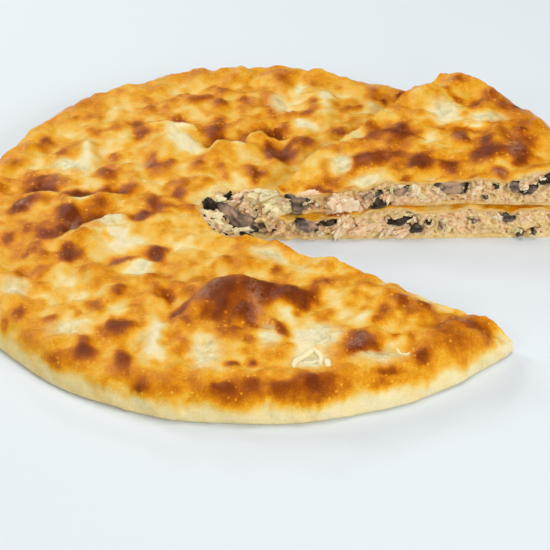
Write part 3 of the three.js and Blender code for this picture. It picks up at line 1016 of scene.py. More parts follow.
gap_levels = (-2.0, 27.0, 30)
pocket_cells = 110
pocket_slack = 0.06
pocket_corner = 5.0
pocket_widest = 6.0
pocket_height = pie_height - crust_thickness - base_thickness
pocket_round = pie_radius - rim_dough
pocket_profile = rim_profile(pocket_round, pocket_height, pocket_corner, pocket_widest, pocket_corner)

# The top crust's underside: how far it lies lower than its plain height, how far it follows the
# blisters up, and how much thicker the crust is away from the cuts.
underside_drop = 0.2
underside_rise = 3.0
extra_crust = 2.0
torn_middle = (-8.0, -3.0)
torn_radius = 25.0


def thicker_inside(depth):
    """How much thicker the top crust is than at a cut, by the distance in from the cut."""
    return extra_crust * smooth(depth, 4.0, 14.0)


def behind_gap(x, y):
    """How far a point lies behind the gap's two cuts and its torn middle."""
    dx = x - near_cut_start[0]
    dy = near_cut_start[1] - y
    near = dy * math.cos(near_cut_angle) + dx * math.sin(near_cut_angle)
    cuts = np.maximum(y - far_cut_y, near)
    torn = np.hypot(x - torn_middle[0], y - torn_middle[1]) - torn_radius
    return np.where(x > 0.0, cuts, torn)


def pocket_top(x, y):
    """The underside of the top crust above the plain pocket; it follows the top's relief."""
    rise = bare_share(x, y) * np.minimum(pie_rise(x, y), underside_rise)
    return settled_rise(x, y) + rise - underside_drop - thicker_inside(behind_gap(x, y))


def pocket_heights(x, y, z, base, top, grow, seed):
    """Heights of a pocket between its uneven floor and the underside of the top crust."""
    share = smooth(z, 3.0, z.max())
    floor_rise = 1.2 * lumps(x, y, 13.0, seed) + 1.3 * lumps(x, y, 6.0, seed + 2.0) - grow
    return z + base + share * (top + grow) + (1.0 - share) * floor_rise


def pie_pocket(name, grow, finishes):
    """The space for the filling, or the filling itself, grown by a little."""
    pocket, x, y, z = dough_round(pocket_cells, pocket_profile)
    x, y = uneven_round(x, y)
    scale = 1.0 + grow / pie_radius
    z = pocket_heights(x, y, z, base_thickness, pocket_top(x, y), grow, 33.0)
    place_vertices(pocket, x * scale, y * scale, z)
    return as_cutter(name, pocket, finishes)


pie_profile = rim_profile(pie_radius, pie_height, crest_inset, widest_height, foot_inset)
dough, x, y, z = dough_round(sheet_cells, pie_profile)
x, y = uneven_round(x, y)
lift = smooth(z, widest_height, pie_height)
side = smooth(np.hypot(x, y), pie_radius - 16.0, pie_radius - 8.0) * smooth(z, 0.0, 2.0)
dents = 1.6 * lumps(x + z, y - z, 16.0, 30.0) + 0.8 * lumps(x, y + z, 6.0, 31.0)
bulge = 1.0 + side * dents / pie_radius
place_vertices(dough, x * bulge, y * bulge, z + lift * pie_relief(x, y))
pie_crust = as_object("crust_of_pie", dough, dough_finishes)
pocket = pie_pocket("pocket", pocket_slack, dough_finishes)
gap = gap_cutter(crust_step, gap_levels, dough_finishes, crust_cut)
cut(pie_crust, [("DIFFERENCE", pocket), ("DIFFERENCE", gap)])
finish_dough(pie_crust, pie_browning_and_shade, pie_thin_places, pie_painted_sheen_places, pie_seed)
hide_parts("pie_crust")

# Pie filling
# Shredded chicken, mushrooms and soft cheese packed in one layer through the pie. It shows at both
# cuts and in the torn middle, where the knife and the tear left it lumpy and crumbled.


def filling_mix():
    """Soft cheese and chopped chicken baked into one mass, cream and pinkish, with dark crumbs."""
    finish, tree, surface = new_finish("filling_mix")
    patch = grain(tree, 150.0, 4.0, 0.6)
    fine = grain(tree, 520.0, 5.0, 0.7)
    cream = [(0.26, (0.50, 0.29, 0.10)), (0.48, (0.90, 0.61, 0.24)), (0.66, (0.98, 0.81, 0.46))]
    pink = [(0.26, (0.50, 0.26, 0.11)), (0.48, (0.91, 0.58, 0.28)), (0.66, (0.98, 0.79, 0.53))]
    pinkish = between(tree, patch, 0.45, 0.56, 1.0)
    colour = blended(tree, pinkish, colour_ramp(tree, fine, cream), colour_ramp(tree, fine, pink))
    crumbs = between(tree, grain(tree, 430.0, 2.0, 0.5), 0.66, 0.72, 0.8)
    colour = blended(tree, crumbs, colour, (0.20, 0.11, 0.06, 1.0))
    tree.links.new(colour, surface.inputs["Base Color"])
    relief = total(tree, patch, scaled(tree, fine, 0.6, 0.0))
    add_bump(tree, surface, relief, 0.8, 0.0016)
    set_inputs(surface, {
        "Roughness": 0.4,
        "Specular IOR Level": 0.2,
        "Subsurface Weight": 0.15,
        "Subsurface Radius": (1.0, 0.6, 0.35),
        "Subsurface Scale": 0.002,
    })
    return finish


# Mushrooms in the far cut: along it, height, width, tall, tilt, tone from 0, black, to 1, pale brown,
# and the bearings in its face of the sides that the knife left flat.
pie_far_mushrooms = [
    (26.5, 8.7, 13.5, 8, -12, 0.60, (60, 250)),
    (38.3, 11.0, 9, 3.6, 8, 0.15, (90, 200)),
    (76.6, 12.0, 14, 5.2, 12, 0.10, (80, 300)),
    (85.5, 7.1, 8, 6, 0, 0.12, (45, 160, 270)),
    (92.0, 11.1, 3.8, 2.9, 0, 0.05, (200,)),
    (99.4, 9.2, 2.2, 6, 10, 0.75, (0,)),
    (116.3, 11.6, 4, 3.4, 0, 0.75, (300,)),
    (134.8, 13.3, 7.6, 6.4, -15, 0.55, (70, 200, 320)),
    (141.7, 2.8, 4.4, 3.0, 0, 0.2, (120,)),
    (149.2, 3.8, 4.4, 3.4, 20, 0.3, (30, 160)),
]


def hollows(x, z, rows):
    """Where a cut has gaps round the mushrooms in it, from 0 to 1."""
    gap = np.zeros(x.shape)
    for along, height, width, tall, *rest in rows:
        reach = np.hypot((x - along) / (0.6 * width), (z - height) / (0.6 * tall))
        gap = np.maximum(gap, np.exp(-((reach - 1.0) / 0.3) ** 2))
    return gap


def crumbled(x, y, z):
    """Filling as the knife left it: torn and lumpy near the middle, smoother towards the rim."""
    reach = np.hypot(x, y)
    torn = 1.7 - 0.7 * smooth(reach, 28.0, 46.0) - 0.55 * smooth(reach, 75.0, 110.0)
    wave = 2.4 * lumps(x + 0.5 * z, y + 1.1 * z, 6.5, 80.0) + 1.9 * lumps(x - 0.7 * z, y + 0.8 * z, 3.0, 81.0)
    crumbs = (0.45 + 0.45 * torn) * lumps(x + 0.3 * z, y - 1.0 * z, 1.8, 82.0)
    pits = smooth(lumps(x + 0.4 * z, y + z, 2.4, 83.0), 0.24, 0.45)
    return torn * wave + crumbs - 1.9 * pits


hollow_round_mushrooms = 2.2
gap_middle = (12.0, -14.0)


def filling_cut(x, y, z):
    """The pie's filling along the gap, hollowed round the mushrooms of the far cut."""
    far_side = y > gap_middle[1] + 2.0
    return crumbled(x, y, z) - hollow_round_mushrooms * hollows(x, z, pie_far_mushrooms) * far_side


filling_finish = filling_mix()
pie_filling = pie_pocket("filling_of_pie", 0.0, [filling_finish])
filling_step = 0.6
gap_fine_levels = (-2.0, 27.0, 54)
gap = gap_cutter(filling_step, gap_fine_levels, [filling_finish], filling_cut)
cut(pie_filling, [("DIFFERENCE", gap)])
finish_piece(pie_filling)
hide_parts("pie_filling")

# Slice crust
# A cut wedge of the same dough and filling, laid back on top just behind the gap and sticking out
# past the right rim. Its point is torn off blunt, and its weight flattens the top under it.
slice_radius = 163.0
slice_centre = (19.0, -8.0)
slice_height = 16.5
slice_sink = 1.0
slice_clearance = 0.15
slice_filling_base = 2.8

# The slice's own swellings, blisters and creases, pale, thin and painted-sheen places, folds and zones,
# listed like the pie's.
slice_swells = [
    (150, 40, 85, 60, 60, 3.4, 0.0),
    (72, 50, 20, 15, 30, 3.2, 0.4),
    (54, 2, 30, 20, 0, -2.0, 0.0),
    (30, 0, 22, 16, 0, -2.2, 0.0),
    (106, 96, 50, 24, 48, 4.4, 0.0),
    (165, 0, 28, 22, 0, 6.0, 0.0),
    (152, -2, 20, 20, 0, 4.4, 0.0),
    (136, 98, 30, 15, -48, 3.2, 0.0),
    (106, 103, 13, 9, 48, -2.8, 0.0),
    (95, 91, 13, 8, 48, 1.4, 0.0),
    (110, 70, 22, 14, -15, -1.6, 0.0),
    (136, 26, 24, 22, -10, 1.8, 0.3),
]

# Listed like the pie's: where the rise is negative it is a crease, and its browning is painted shade in it.
slice_blisters = [
    (64, 23, 9, 9, 0, 0.7, 0.34),
    (54, 21, 5, 9, 0, 0.8, 0.22),
    (76, 24, 6, 7, 0, 0.8, 0.30),
    (36, 16, 3.5, 6, 0, 0.6, 0.26),
    (40, 8, 5, 5, 0, 0.6, 0.30),
    (32, 2, 3, 3, 0, 0.4, 0.26),
    (38, -2, 4, 2.5, 0, 0.6, 0.42),
    (28, -1, 4, 2.5, 0, 0.4, 0.18),
    (47, -1, 4, 2.5, 0, 0.4, 0.18),
    (14, 1, 3, 2.5, 0, 0.4, 0.26),
    (79, 0, 4, 3, 0, 0.5, 0.26),
    (86, 13, 5, 6, 30, 0.6, 0.30),
    (57, 43, 6, 5, 0, 0.5, 0.22),
    (44, 29, 5, 5, 0, 0.6, 0.20),
    (66, 53, 8, 15, 10, 0.6, 0.32),
    (79, 50, 10, 15, 10, 0.6, 0.34),
    (111, 40, 6, 7, 10, 1.5, 0.50),
    (125, 39, 4.5, 6, 0, 1.0, 0.40),
    (122, 26, 9, 11, -20, 0.7, 0.36),
    (123, 17, 8, 6, 10, 0.6, 0.30),
    (129, 4, 5.5, 6.5, 30, 1.5, 0.46),
    (143, 29, 8, 20, -10, 1.0, 0.34),
    (137, 41, 5, 7, 0, 0.6, 0.26),
    (141, 14, 5, 8, 0, 0.6, 0.26),
    (88, 14, 7, 7, 25, 0.6, 0.26),
    (103, 13, 8, 6, 0, 0.6, 0.26),
    (106, 12, 3, 5, 0, 0.4, 0.16),
    (115, -1, 4, 3, 0, 0.4, 0.22),
    (100, 3, 10, 7, 0, 0.0, 0.12),
    (112, 54, 6, 2, -20, -0.6, 0.30),
    (108, 93, 5, 4, -45, 0.8, 0.38),
    (114, 84, 5, 4, -45, 0.5, 0.30),
    (124, 82, 5, 4, 20, 0.6, 0.32),
    (117, 68, 3.5, 3.5, 0, 0.4, 0.24),
    (133, 89, 7, 6, -50, 0.5, 0.24),
    (138, 76, 4, 6, 0, 0.5, 0.24),
]

slice_pale_places = [
    (46, 20, 6, 9, -20, -0.30),
    (107, 76, 8, 9, 0, -0.24),
    (130, 63, 12, 8, 0, -0.24),
    (94, 39, 8, 9, 0, -0.20),
    (58, 4, 12, 6, 0, -0.22),
    (100, 63, 9, 7, 0, -0.18),
    (129, 12, 8, 4, 0, -0.20),
]

slice_thin_places = [
    (46, 20, 7, 10, -20),
    (107, 76, 9, 8, 0),
    (131, 62, 10, 7, 0),
    (56, 3, 8, 5, 0),
]

# Painted sheen on the slice's dark places: x, y, along, across, turn.
slice_painted_sheen_places = [
    (111, 40, 5, 6, 0),
    (129, 4, 5, 5, 0),
    (140, 28, 6, 12, -10),
]

slice_folds = [
    ([(130, 50), (106, 56)], 1.2, 6.0),
]

slice_zones = [
    (80, 34, 44, 30, 30, 0.15),
    (132, 30, 36, 38, 0, 0.14),
    (150, 55, 16, 40, 20, 0.12),
    (118, 68, 26, 14, 0, -0.10),
]

slice_marks = {
    "swells": slice_swells,
    "blisters": slice_blisters + small_spots(6, 130, 0.0, 185.0, -5.0, 130.0),
    "pale": slice_pale_places,
    "zones": slice_zones,
    "folds": slice_folds,
}
slice_seed = 23.0


def from_slice_rim(x, y):
    """How far in from the slice's rim a point lies."""
    return slice_radius - np.hypot(x - slice_centre[0], y - slice_centre[1])


def slice_relief(x, y):
    """Height of the slice's top above its plain round."""
    return crust_relief(x, y, slice_marks, slice_seed) + rim_hollow(from_slice_rim(x, y))


def resting_top(x, y):
    """The flattened top of the pie that the slice lies on."""
    return pie_height + settled_rise(x, y)


slice_pale_side = (6.0, 13.0)


def slice_browning_and_shade(x, y, z):
    """How brown the slice's skin is, with painted shade and highlights like the pie's, over a pale side."""
    brown = crust_browning_and_shade(x, y, slice_marks, slice_seed, rim_share(from_slice_rim(x, y)))
    edge = z - resting_top(x, y) + 2.5 * lumps(x, y, 9.0, 160.0)
    return brown * (0.15 + 0.85 * smooth(edge, *slice_pale_side))


# The slice's blunt point in plan, from its left cut round to its front cut.
slice_tip = [(17, 9.5), (12.5, 4.5), (11, 1), (14, -1.2), (20, -1.8)]
tip_spacing = 7.8
left_cut_inner = 30.0
left_cut_reach = 240.0


def slice_path(step):
    """The slice's outline in plan: in along its left cut, round the blunt point, out along its front."""
    left = np.array([math.cos(slice_angle), math.sin(slice_angle)])
    start = np.array(slice_apex) + left_cut_reach * left
    inner = np.array(slice_apex) + left_cut_inner * left
    return np.vstack([
        straight(start, inner, step),
        curve_through([tuple(inner)] + slice_tip, int(tip_spacing / step)),
        straight((slice_tip[-1][0] + step, slice_apex[1]), (cut_reach, slice_apex[1]), step),
    ])


def wedge_cutter(step, levels, finishes, roughness):
    """The block that the slice is trimmed to."""
    path = slice_path(step)
    return cutter("wedge", path, path, levels, finishes, roughness)


slice_levels = (10.0, 56.0, 44)
slice_underside_rise = 7.0
slice_pocket_widest = 5.0
slice_pocket_foot = 4.0
slice_pocket_profile = rim_profile(
    slice_radius - rim_dough, slice_height - crust_thickness - slice_filling_base,
    pocket_corner, slice_pocket_widest, slice_pocket_foot)


def slice_pocket_top(x, y):
    """The underside of the slice's top crust above its plain pocket."""
    depth = np.abs(depth_under_slice(x, y))
    rise = np.minimum(slice_relief(x, y), slice_underside_rise)
    return rise - underside_drop - thicker_inside(depth)


def slice_pocket(name, grow, finishes):
    """The space for the slice's filling, or the filling itself, grown by a little."""
    pocket, x, y, z = dough_round(pocket_cells, slice_pocket_profile)
    x = x + slice_centre[0]
    y = y + slice_centre[1]
    base = resting_top(x, y) - slice_sink + slice_filling_base
    z = pocket_heights(x, y, z, base, slice_pocket_top(x, y), grow, 34.0)
    place_vertices(pocket, x, y, z)
    return as_cutter(name, pocket, finishes)


slice_profile = rim_profile(slice_radius, slice_height, crest_inset, widest_height, foot_inset)
dough, x, y, z = dough_round(sheet_cells, slice_profile)
x = x + slice_centre[0]
y = y + slice_centre[1]
lift = smooth(z, widest_height, slice_height)
rise = lift * (slice_relief(x, y) - slice_sink)
place_vertices(dough, x, y, z + slice_clearance + resting_top(x, y) + rise)
slice_crust = as_object("crust_of_slice", dough, dough_finishes)
pocket = slice_pocket("pocket", pocket_slack, dough_finishes)
wedge = wedge_cutter(crust_step, slice_levels, dough_finishes, crust_cut)
cut(slice_crust, [("DIFFERENCE", pocket), ("INTERSECT", wedge)])
finish_dough(slice_crust, slice_browning_and_shade, slice_thin_places, slice_painted_sheen_places, slice_seed)
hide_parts("slice_crust")

# Slice filling
# The same layer of chicken, mushrooms and cheese, running through the slice between its crusts. It
# was cut together with them, so it shows along the front cut and the left one.
slice_filling = slice_pocket("filling_of_slice", 0.0, [filling_finish])

# Mushrooms in the slice's front cut, listed like those of the far cut.
slice_front_mushrooms = [
    (21.6, 20.6, 13.5, 11.5, -6, 0.45, (88, 208, 328)),
    (64.9, 20.4, 11.3, 8, 10, 0.16, (60, 180, 290)),
    (62.0, 26.2, 10, 3.8, 14, 0.85, (80, 260)),
    (76.9, 28.9, 9.5, 4.6, 16, 0.90, (100, 330)),
    (102.9, 31.1, 15.5, 7.4, 2, 0.95, (85,)),
    (110.9, 30.7, 3.0, 6.0, -8, 0.03, (0, 180)),
    (127.4, 31.7, 2.7, 2.5, 0, 0.15, (90,)),
    (122.3, 24.8, 3.2, 2.6, -30, 0.75, (0,)),
    (136.7, 32.2, 5.8, 6.6, 0, 0.45, (150,)),
    (145.0, 29.8, 10.5, 5.6, 24, 0.34, (95, 320)),
    (153.6, 36.0, 7.0, 6.4, 15, 0.16, (80, 250)),
]
lump_shift = 40.0


def slice_filling_cut(x, y, z):
    """Lumps and hollows of the slice's filling at its cuts, shifted to differ from the pie's."""
    front = y < slice_apex[1] + 4.0
    hollow = hollow_round_mushrooms * hollows(x, z, slice_front_mushrooms)
    return hollow * front - crumbled(x + lump_shift, y, z)


slice_fine_levels = (10.0, 56.0, 84)
wedge = wedge_cutter(filling_step, slice_fine_levels, [filling_finish], slice_filling_cut)
cut(slice_filling, [("INTERSECT", wedge)])
finish_piece(slice_filling)
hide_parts("slice_filling")

# Mushrooms
# Sliced mushrooms cooked into the filling. Their flesh is grey to brown, their skin and gills
# almost black, and the slices stick out of the cuts and lie in the torn middle.
# Three thin dark strips among them in the torn middle are painted shade in its crevices, built as mushroom
# pieces.
class Cut:
    """A straight cut face: where it starts, which way it runs and which way it faces."""

    def __init__(self, start, angle, facing):
        self.start = Vector((start[0], start[1], 0.0))
        self.along = Vector((math.cos(angle), math.sin(angle), 0.0))
        self.out = Vector((-self.along.y, self.along.x, 0.0)) * facing

    def place(self, along, out, height):
        """A place the given distances along the cut, out of its face and up."""
        return self.start + along * self.along + out * self.out + Vector((0.0, 0.0, height))

    def turned(self, tilt):
        """Axes of a piece that lies along the cut, tilted in its face."""
        face = Matrix((self.along, self.out, (0.0, 0.0, 1.0))).transposed()
        return face @ Matrix.Rotation(-math.radians(tilt), 3, "Y")


pie_far_cut = Cut((0.0, far_cut_y), far_cut_angle, -1.0)
pie_near_cut = Cut(near_cut_start, near_cut_angle, 1.0)
slice_front_cut = Cut((0.0, slice_apex[1]), 0.0, -1.0)
slice_left_cut = Cut(slice_apex, slice_angle, 1.0)


def chopped(place, sides, flatness=0.9):
    """Flattens a round lump against the planes of a knife: pairs of direction and distance."""
    for way, distance in sides:
        over = place.dot(way) - distance
        if over > 0.0:
            place = place - flatness * over * way
    return place


def random_sides(seed, count):
    """Knife planes in no order, the same for the same seed."""
    draw = np.random.default_rng(int(seed * 100.0))
    sides = []
    for _ in range(count):
        way = Vector(draw.normal(size=3)).normalized()
        sides.append((way, draw.uniform(0.35, 0.8)))
    return sides


lowest_filling = 0.3


def add_lump(mesh, place, axes, size, seed, rough, tone, detail=3):
    """Adds one torn or crumbled piece of filling, with its tone stored on it, painted darker in its sunk
    parts and creases as painted shade.
    """
    tone_layer = mesh.verts.layers.float.get("tone")
    made = bmesh.ops.create_icosphere(mesh, subdivisions=detail, radius=1.0)["verts"]
    sides = random_sides(seed, 5)
    offset = Vector((seed, -seed, 2.0 * seed))
    for vert in made:
        way = vert.co.copy()
        swell = 1.0 + 0.9 * rough * noise.noise(way * 1.2 + offset)
        fibres = Vector((way.x * 1.6, way.y * 4.2, way.z * 4.2)) + offset
        swell += 0.8 * rough * noise.noise(fibres) + 0.5 * rough * noise.noise(way * 5.5 + offset)
        shaded_crease = max(0.0, 1.0 - abs(noise.noise(way * 1.7 - offset)) / 0.12)
        swell -= 0.3 * rough * shaded_crease
        shape = chopped(way, sides) * swell
        vert.co = place + axes @ Vector((shape.x * size[0], shape.y * size[1], shape.z * size[2]))
        vert.co.z = max(vert.co.z, lowest_filling)
        # Painted shade: the tone falls where the piece is sunk or creased and rises where it swells.
        vert[tone_layer] = tone + 0.25 * (swell - 1.0) / max(rough, 0.1) - 0.2 * shaded_crease


def lump_mesh():
    """An empty mesh for pieces of filling that keep their tones."""
    mesh = bmesh.new()
    mesh.verts.layers.float.new("tone")
    return mesh


def add_mushroom(mesh, place, axes, width, tall, depth, seed, tone, flat_sides, detail=5):
    """Adds a piece of mushroom: flat where it was cut, layered along its length, dark at its skin."""
    tone_layer = mesh.verts.layers.float.get("tone")
    made = bmesh.ops.create_icosphere(mesh, subdivisions=detail, radius=1.0)["verts"]
    sides = []
    for bearing in flat_sides:
        turn = math.radians(bearing)
        sides.append((Vector((math.cos(turn), 0.0, math.sin(turn))), 0.6))
    offset = Vector((seed, 0.0, -seed))
    for vert in made:
        way = vert.co.copy()
        flat = chopped(way, sides, 0.75)
        body = Vector((flat.x * width * 0.55, flat.y * depth, flat.z * tall * 0.55))
        swell = 1.0 + 0.4 * noise.noise(way * 1.3 + offset) + 0.14 * noise.noise(way * 3.0 + offset)
        layers = noise.noise(Vector((body.x / 8.0, body.y / 4.0, body.z / 3.0)) + offset)
        curl = 0.07 * tall * (way.x * way.x - 0.3)
        vert.co = place + axes @ (body * swell + Vector((0.0, 0.8 * layers, curl)))
        vert.co.z = max(vert.co.z, lowest_filling)
        uncut = 1.0 - smooth((way - flat).length, 0.0, 0.12)
        skin = smooth(math.hypot(way.x, way.z), 0.70, 0.95) * uncut
        mottle = 1.4 * layers + 0.5 * noise.noise(body / 1.6 - offset)
        vert[tone_layer] = (0.10 + tone) * (1.0 + (1.15 - 0.5 * tone) * mottle) * (1.0 - 0.75 * skin)


def mushroom_flesh():
    """Cooked mushroom: moist, grey-brown, streaked, black at the skin."""
    finish, tree, surface = new_finish("mushroom_flesh")
    share = total(tree, stored(tree, "tone"), scaled(tree, grain(tree, 420.0, 4.0, 0.6), 0.5, -0.25))
    stops = [(0.0, (0.004, 0.003, 0.002)), (0.20, (0.024, 0.015, 0.011)), (0.50, (0.125, 0.093, 0.073)),
             (0.80, (0.275, 0.195, 0.142)), (1.0, (0.48, 0.31, 0.20))]
    tree.links.new(colour_ramp(tree, share, stops), surface.inputs["Base Color"])
    add_bump(tree, surface, grain(tree, 700.0, 4.0, 0.6), 0.5, 0.001)
    set_inputs(surface, {
        "Roughness": 0.2,
        "Specular IOR Level": 0.2,
        "Specular Tint": (1.0, 0.85, 0.7, 1.0),
    })
    return finish


mushrooms_and_shade_strips = lump_mesh()
mushroom_depth = 3.2
mushroom_out = -0.9
for cut_face, rows in ((pie_far_cut, pie_far_mushrooms), (slice_front_cut, slice_front_mushrooms)):
    for along, height, width, tall, tilt, tone, flat_sides in rows:
        axes = cut_face.turned(tilt)
        place = cut_face.place(along, mushroom_out, height)
        add_mushroom(mushrooms_and_shade_strips, place, axes, width, tall, mushroom_depth, along, tone, flat_sides)

# In the torn middle, leaning back with its slope: place, turn, tilt, width, tall, depth, tone, flat sides.
tear_lean = math.radians(-40.0)
tear_mushrooms_and_shade_strips = [
    ((-26.4, 4.4, 15.6), 60, 30, 8.4, 8.2, 3.0, 0.10, ()),
    ((-17.2, 13.4, 14.8), 25, -25, 6.5, 3.6, 2.2, 0.10, (90,)),
    # A dark strip of painted shade in the crevice under the lifted crust.
    ((-11.0, 15.0, 14.0), 20, -14, 11, 3.4, 1.6, 0.40, (90,)),
    ((-10.8, 1.8, 8.6), -21, 23, 21, 9.5, 2.4, 0.56, (80,)),
    ((1.8, -1.2, 5.8), -25, 14, 11, 5.0, 2.2, 0.85, (270,)),
    # Two near-black strips of painted shade along the near edge of the tear.
    ((-8.4, -5.6, 4.2), -30, 10, 13, 2.4, 1.6, 0.05, (90,)),
    ((-25.6, -11.0, 13.4), -55, 24, 12, 2.2, 1.4, 0.05, (90,)),
]
for number, (place, turn, tilt, width, tall, depth, tone, flat_sides) in enumerate(tear_mushrooms_and_shade_strips):
    axes = Matrix.Rotation(math.radians(turn), 3, "Z") @ Matrix.Rotation(math.radians(tilt), 3, "Y")
    axes = axes @ Matrix.Rotation(tear_lean, 3, "X") @ Matrix.Rotation(math.pi, 3, "Z")
    add_mushroom(mushrooms_and_shade_strips, Vector(place), axes, width, tall, depth, 60 + number * 2.3, tone, flat_sides)


def filling_span(cut_face, along):
    """Lowest and highest filling at a place along a cut."""
    place = cut_face.place(along, -1.0, 0.0)
    x = np.array([place.x])
    y = np.array([place.y])
    if cut_face in (pie_far_cut, pie_near_cut):
        top = base_thickness + pocket_profile[2][0] + pocket_top(x, y)[0]
        return base_thickness, top
    base = resting_top(x, y)[0] - slice_sink + slice_filling_base
    return base, base + slice_pocket_profile[2][0] + slice_pocket_top(x, y)[0]


tear_steps = 8
tear_wall_low = curve_through(tear_low, tear_steps)
tear_wall_high = curve_through(tear_high, tear_steps)


def on_tear(draw, out):
    """A random place on the torn wall, moved out of it towards the middle of the gap."""
    station = draw.integers(tear_steps, len(tear_wall_low) - tear_steps)
    share = draw.uniform(0.2, 0.9)
    low = Vector((*tear_wall_low[station], 0.0))
    place = low.lerp(Vector((*tear_wall_high[station], pie_height)), share)
    return place + (Vector((*gap_middle, pie_height)) - place).normalized() * out


def tumbled(draw):
    """Axes of a crumb that fell anyhow."""
    turn = Matrix.Rotation(draw.uniform(0.0, 6.28), 3, "Z")
    return turn @ Matrix.Rotation(draw.uniform(0.0, 1.5), 3, "X")


# Dark crumbs of mushroom on the torn wall.
dark_crumbs = 26
crumb_draw = np.random.default_rng(8)
for number in range(dark_crumbs):
    axes = tumbled(crumb_draw)
    width = crumb_draw.uniform(1.6, 5.0)
    tall = crumb_draw.uniform(0.8, 2.0)
    tone = crumb_draw.choice([0.05, 0.1, 0.3, 0.6])
    add_mushroom(mushrooms_and_shade_strips, on_tear(crumb_draw, 0.2), axes, width, tall, 0.8, 90.0 + number, tone, (90.0,), 3)

# Mushrooms in no order along the two cuts that face away.
hidden_draw = np.random.default_rng(12)
for cut_face, reach in ((pie_near_cut, 128.0), (slice_left_cut, 148.0)):
    along = 16.0
    while along < reach:
        base, top = filling_span(cut_face, along)
        height = hidden_draw.uniform(base + 2.0, top - 2.5)
        width = hidden_draw.uniform(2.5, 13.0)
        tall = hidden_draw.uniform(2.2, 6.5)
        axes = cut_face.turned(hidden_draw.uniform(-25.0, 25.0))
        tone = hidden_draw.choice([0.08, 0.2, 0.4, 0.6, 0.85])
        place = cut_face.place(along, -1.0, height)
        flat_sides = hidden_draw.uniform(0.0, 360.0, 2)
        add_mushroom(mushrooms_and_shade_strips, place, axes, width, tall, 2.4, along, tone, flat_sides, 4)
        along += hidden_draw.uniform(5.0, 16.0)
mushroom_and_shade_pieces = as_object("mushrooms_and_shade_strips", mushrooms_and_shade_strips, [mushroom_flesh()])
finish_piece(mushroom_and_shade_pieces)

# Chicken and cheese
# Shreds of boiled chicken, pinkish and fibrous, and crumbs of white brined cheese, pressed into
# the same layer. The larger shreds stand out of the cuts, and a few strings of cheese melted onto
# the top crust.


def chicken_meat():
    """Boiled chicken: pale pink-beige, darker in the grooves between its fibres, where the stored tone holds
    painted shade.
    """
    finish, tree, surface = new_finish("chicken_meat")
    share = total(tree, stored(tree, "tone"), scaled(tree, grain(tree, 480.0, 4.0, 0.65), 0.5, -0.25))
    stops = [(0.0, (0.38, 0.18, 0.08)), (0.35, (0.80, 0.48, 0.26)), (0.7, (0.95, 0.68, 0.43)),
             (1.0, (0.98, 0.84, 0.61))]
    tree.links.new(colour_ramp(tree, share, stops), surface.inputs["Base Color"])
    add_bump(tree, surface, share, 0.6, 0.0012)
    set_inputs(surface, {
        "Roughness": 0.4,
        "Specular IOR Level": 0.25,
        "Subsurface Weight": 0.15,
        "Subsurface Radius": (1.0, 0.5, 0.35),
        "Subsurface Scale": 0.002,
    })
    return finish


def white_cheese():
    """Crumbled brined cheese: creamy white and grainy."""
    finish, tree, surface = new_finish("white_cheese")
    lift = scaled(tree, stored(tree, "tone"), 0.5, -0.35)
    share = total(tree, grain(tree, 520.0, 5.0, 0.65), lift)
    stops = [(0.3, (0.72, 0.51, 0.23)), (0.5, (0.95, 0.75, 0.39)), (0.68, (0.98, 0.86, 0.54))]
    tree.links.new(colour_ramp(tree, share, stops), surface.inputs["Base Color"])
    add_bump(tree, surface, share, 0.7, 0.0012)
    set_inputs(surface, {
        "Roughness": 0.4,
        "Specular IOR Level": 0.25,
        "Subsurface Weight": 0.2,
        "Subsurface Scale": 0.002,
    })
    return finish


chicken = lump_mesh()
cheese = lump_mesh()

# Pieces of chicken that stand out of a cut: along it, height, width, tall, tilt, how far out, tone.
pie_far_chicken = [
    (46.2, 7.9, 11, 9, 70, 0.7, 0.70),
    (53.6, 4.6, 10, 6, 10, 0.7, 0.60),
    (61.0, 10.0, 14, 9, 20, 0.2, 0.55),
    (71.6, 5.8, 9, 3, 50, 0.7, 0.85),
    (68.4, 4.8, 7, 2.6, 55, 0.8, 0.90),
    (78.1, 4.2, 11, 5, 15, 0.4, 0.75),
    (43.0, 8.2, 8, 6, 0, 0.1, 0.50),
    (129.2, 12.4, 6, 5.4, 30, -0.2, 1.00),
    (108.0, 12.0, 12, 8, 10, -1.1, 0.65),
    (146.0, 12.5, 12, 7, -20, -1.1, 0.60),
]
slice_front_chicken = [
    (43.7, 18.2, 13, 15, 80, 1.3, 0.75),
    (48.4, 23.4, 6, 4.4, 20, 0.6, 0.95),
    (58.7, 20.8, 6, 6, 60, 0.2, 0.70),
    (69.8, 24.4, 7, 4.4, 80, 0.3, 0.75),
    (83.8, 28.8, 8, 5.6, 70, 0.3, 0.95),
    (76.9, 22.1, 10, 6, 0, -0.5, 0.60),
    (24.8, 24.4, 15, 3.4, 8, 0.6, 0.65),
    (51.2, 18.6, 10, 4.4, -15, 0.1, 0.60),
    (91.0, 29.5, 9, 7, 30, -0.6, 0.70),
    (143.5, 31.5, 9, 6, 20, -0.4, 0.80),
    (120.0, 29.0, 14, 8, 10, -1.2, 0.70),
]
chicken_depth = 2.6
chicken_sunk = 1.2
for cut_face, rows in ((pie_far_cut, pie_far_chicken), (slice_front_cut, slice_front_chicken)):
    for along, height, width, tall, tilt, out, tone in rows:
        size = (width * 0.58, chicken_depth, tall * 0.58)
        place = cut_face.place(along, out - chicken_sunk, height)
        detail = 5 if width > 10.0 else 4
        add_lump(chicken, place, cut_face.turned(tilt), size, along, 0.7, tone, detail)

# Smaller shreds and crumbs in no order, sunk into the cuts.
shred_draw = np.random.default_rng(24)


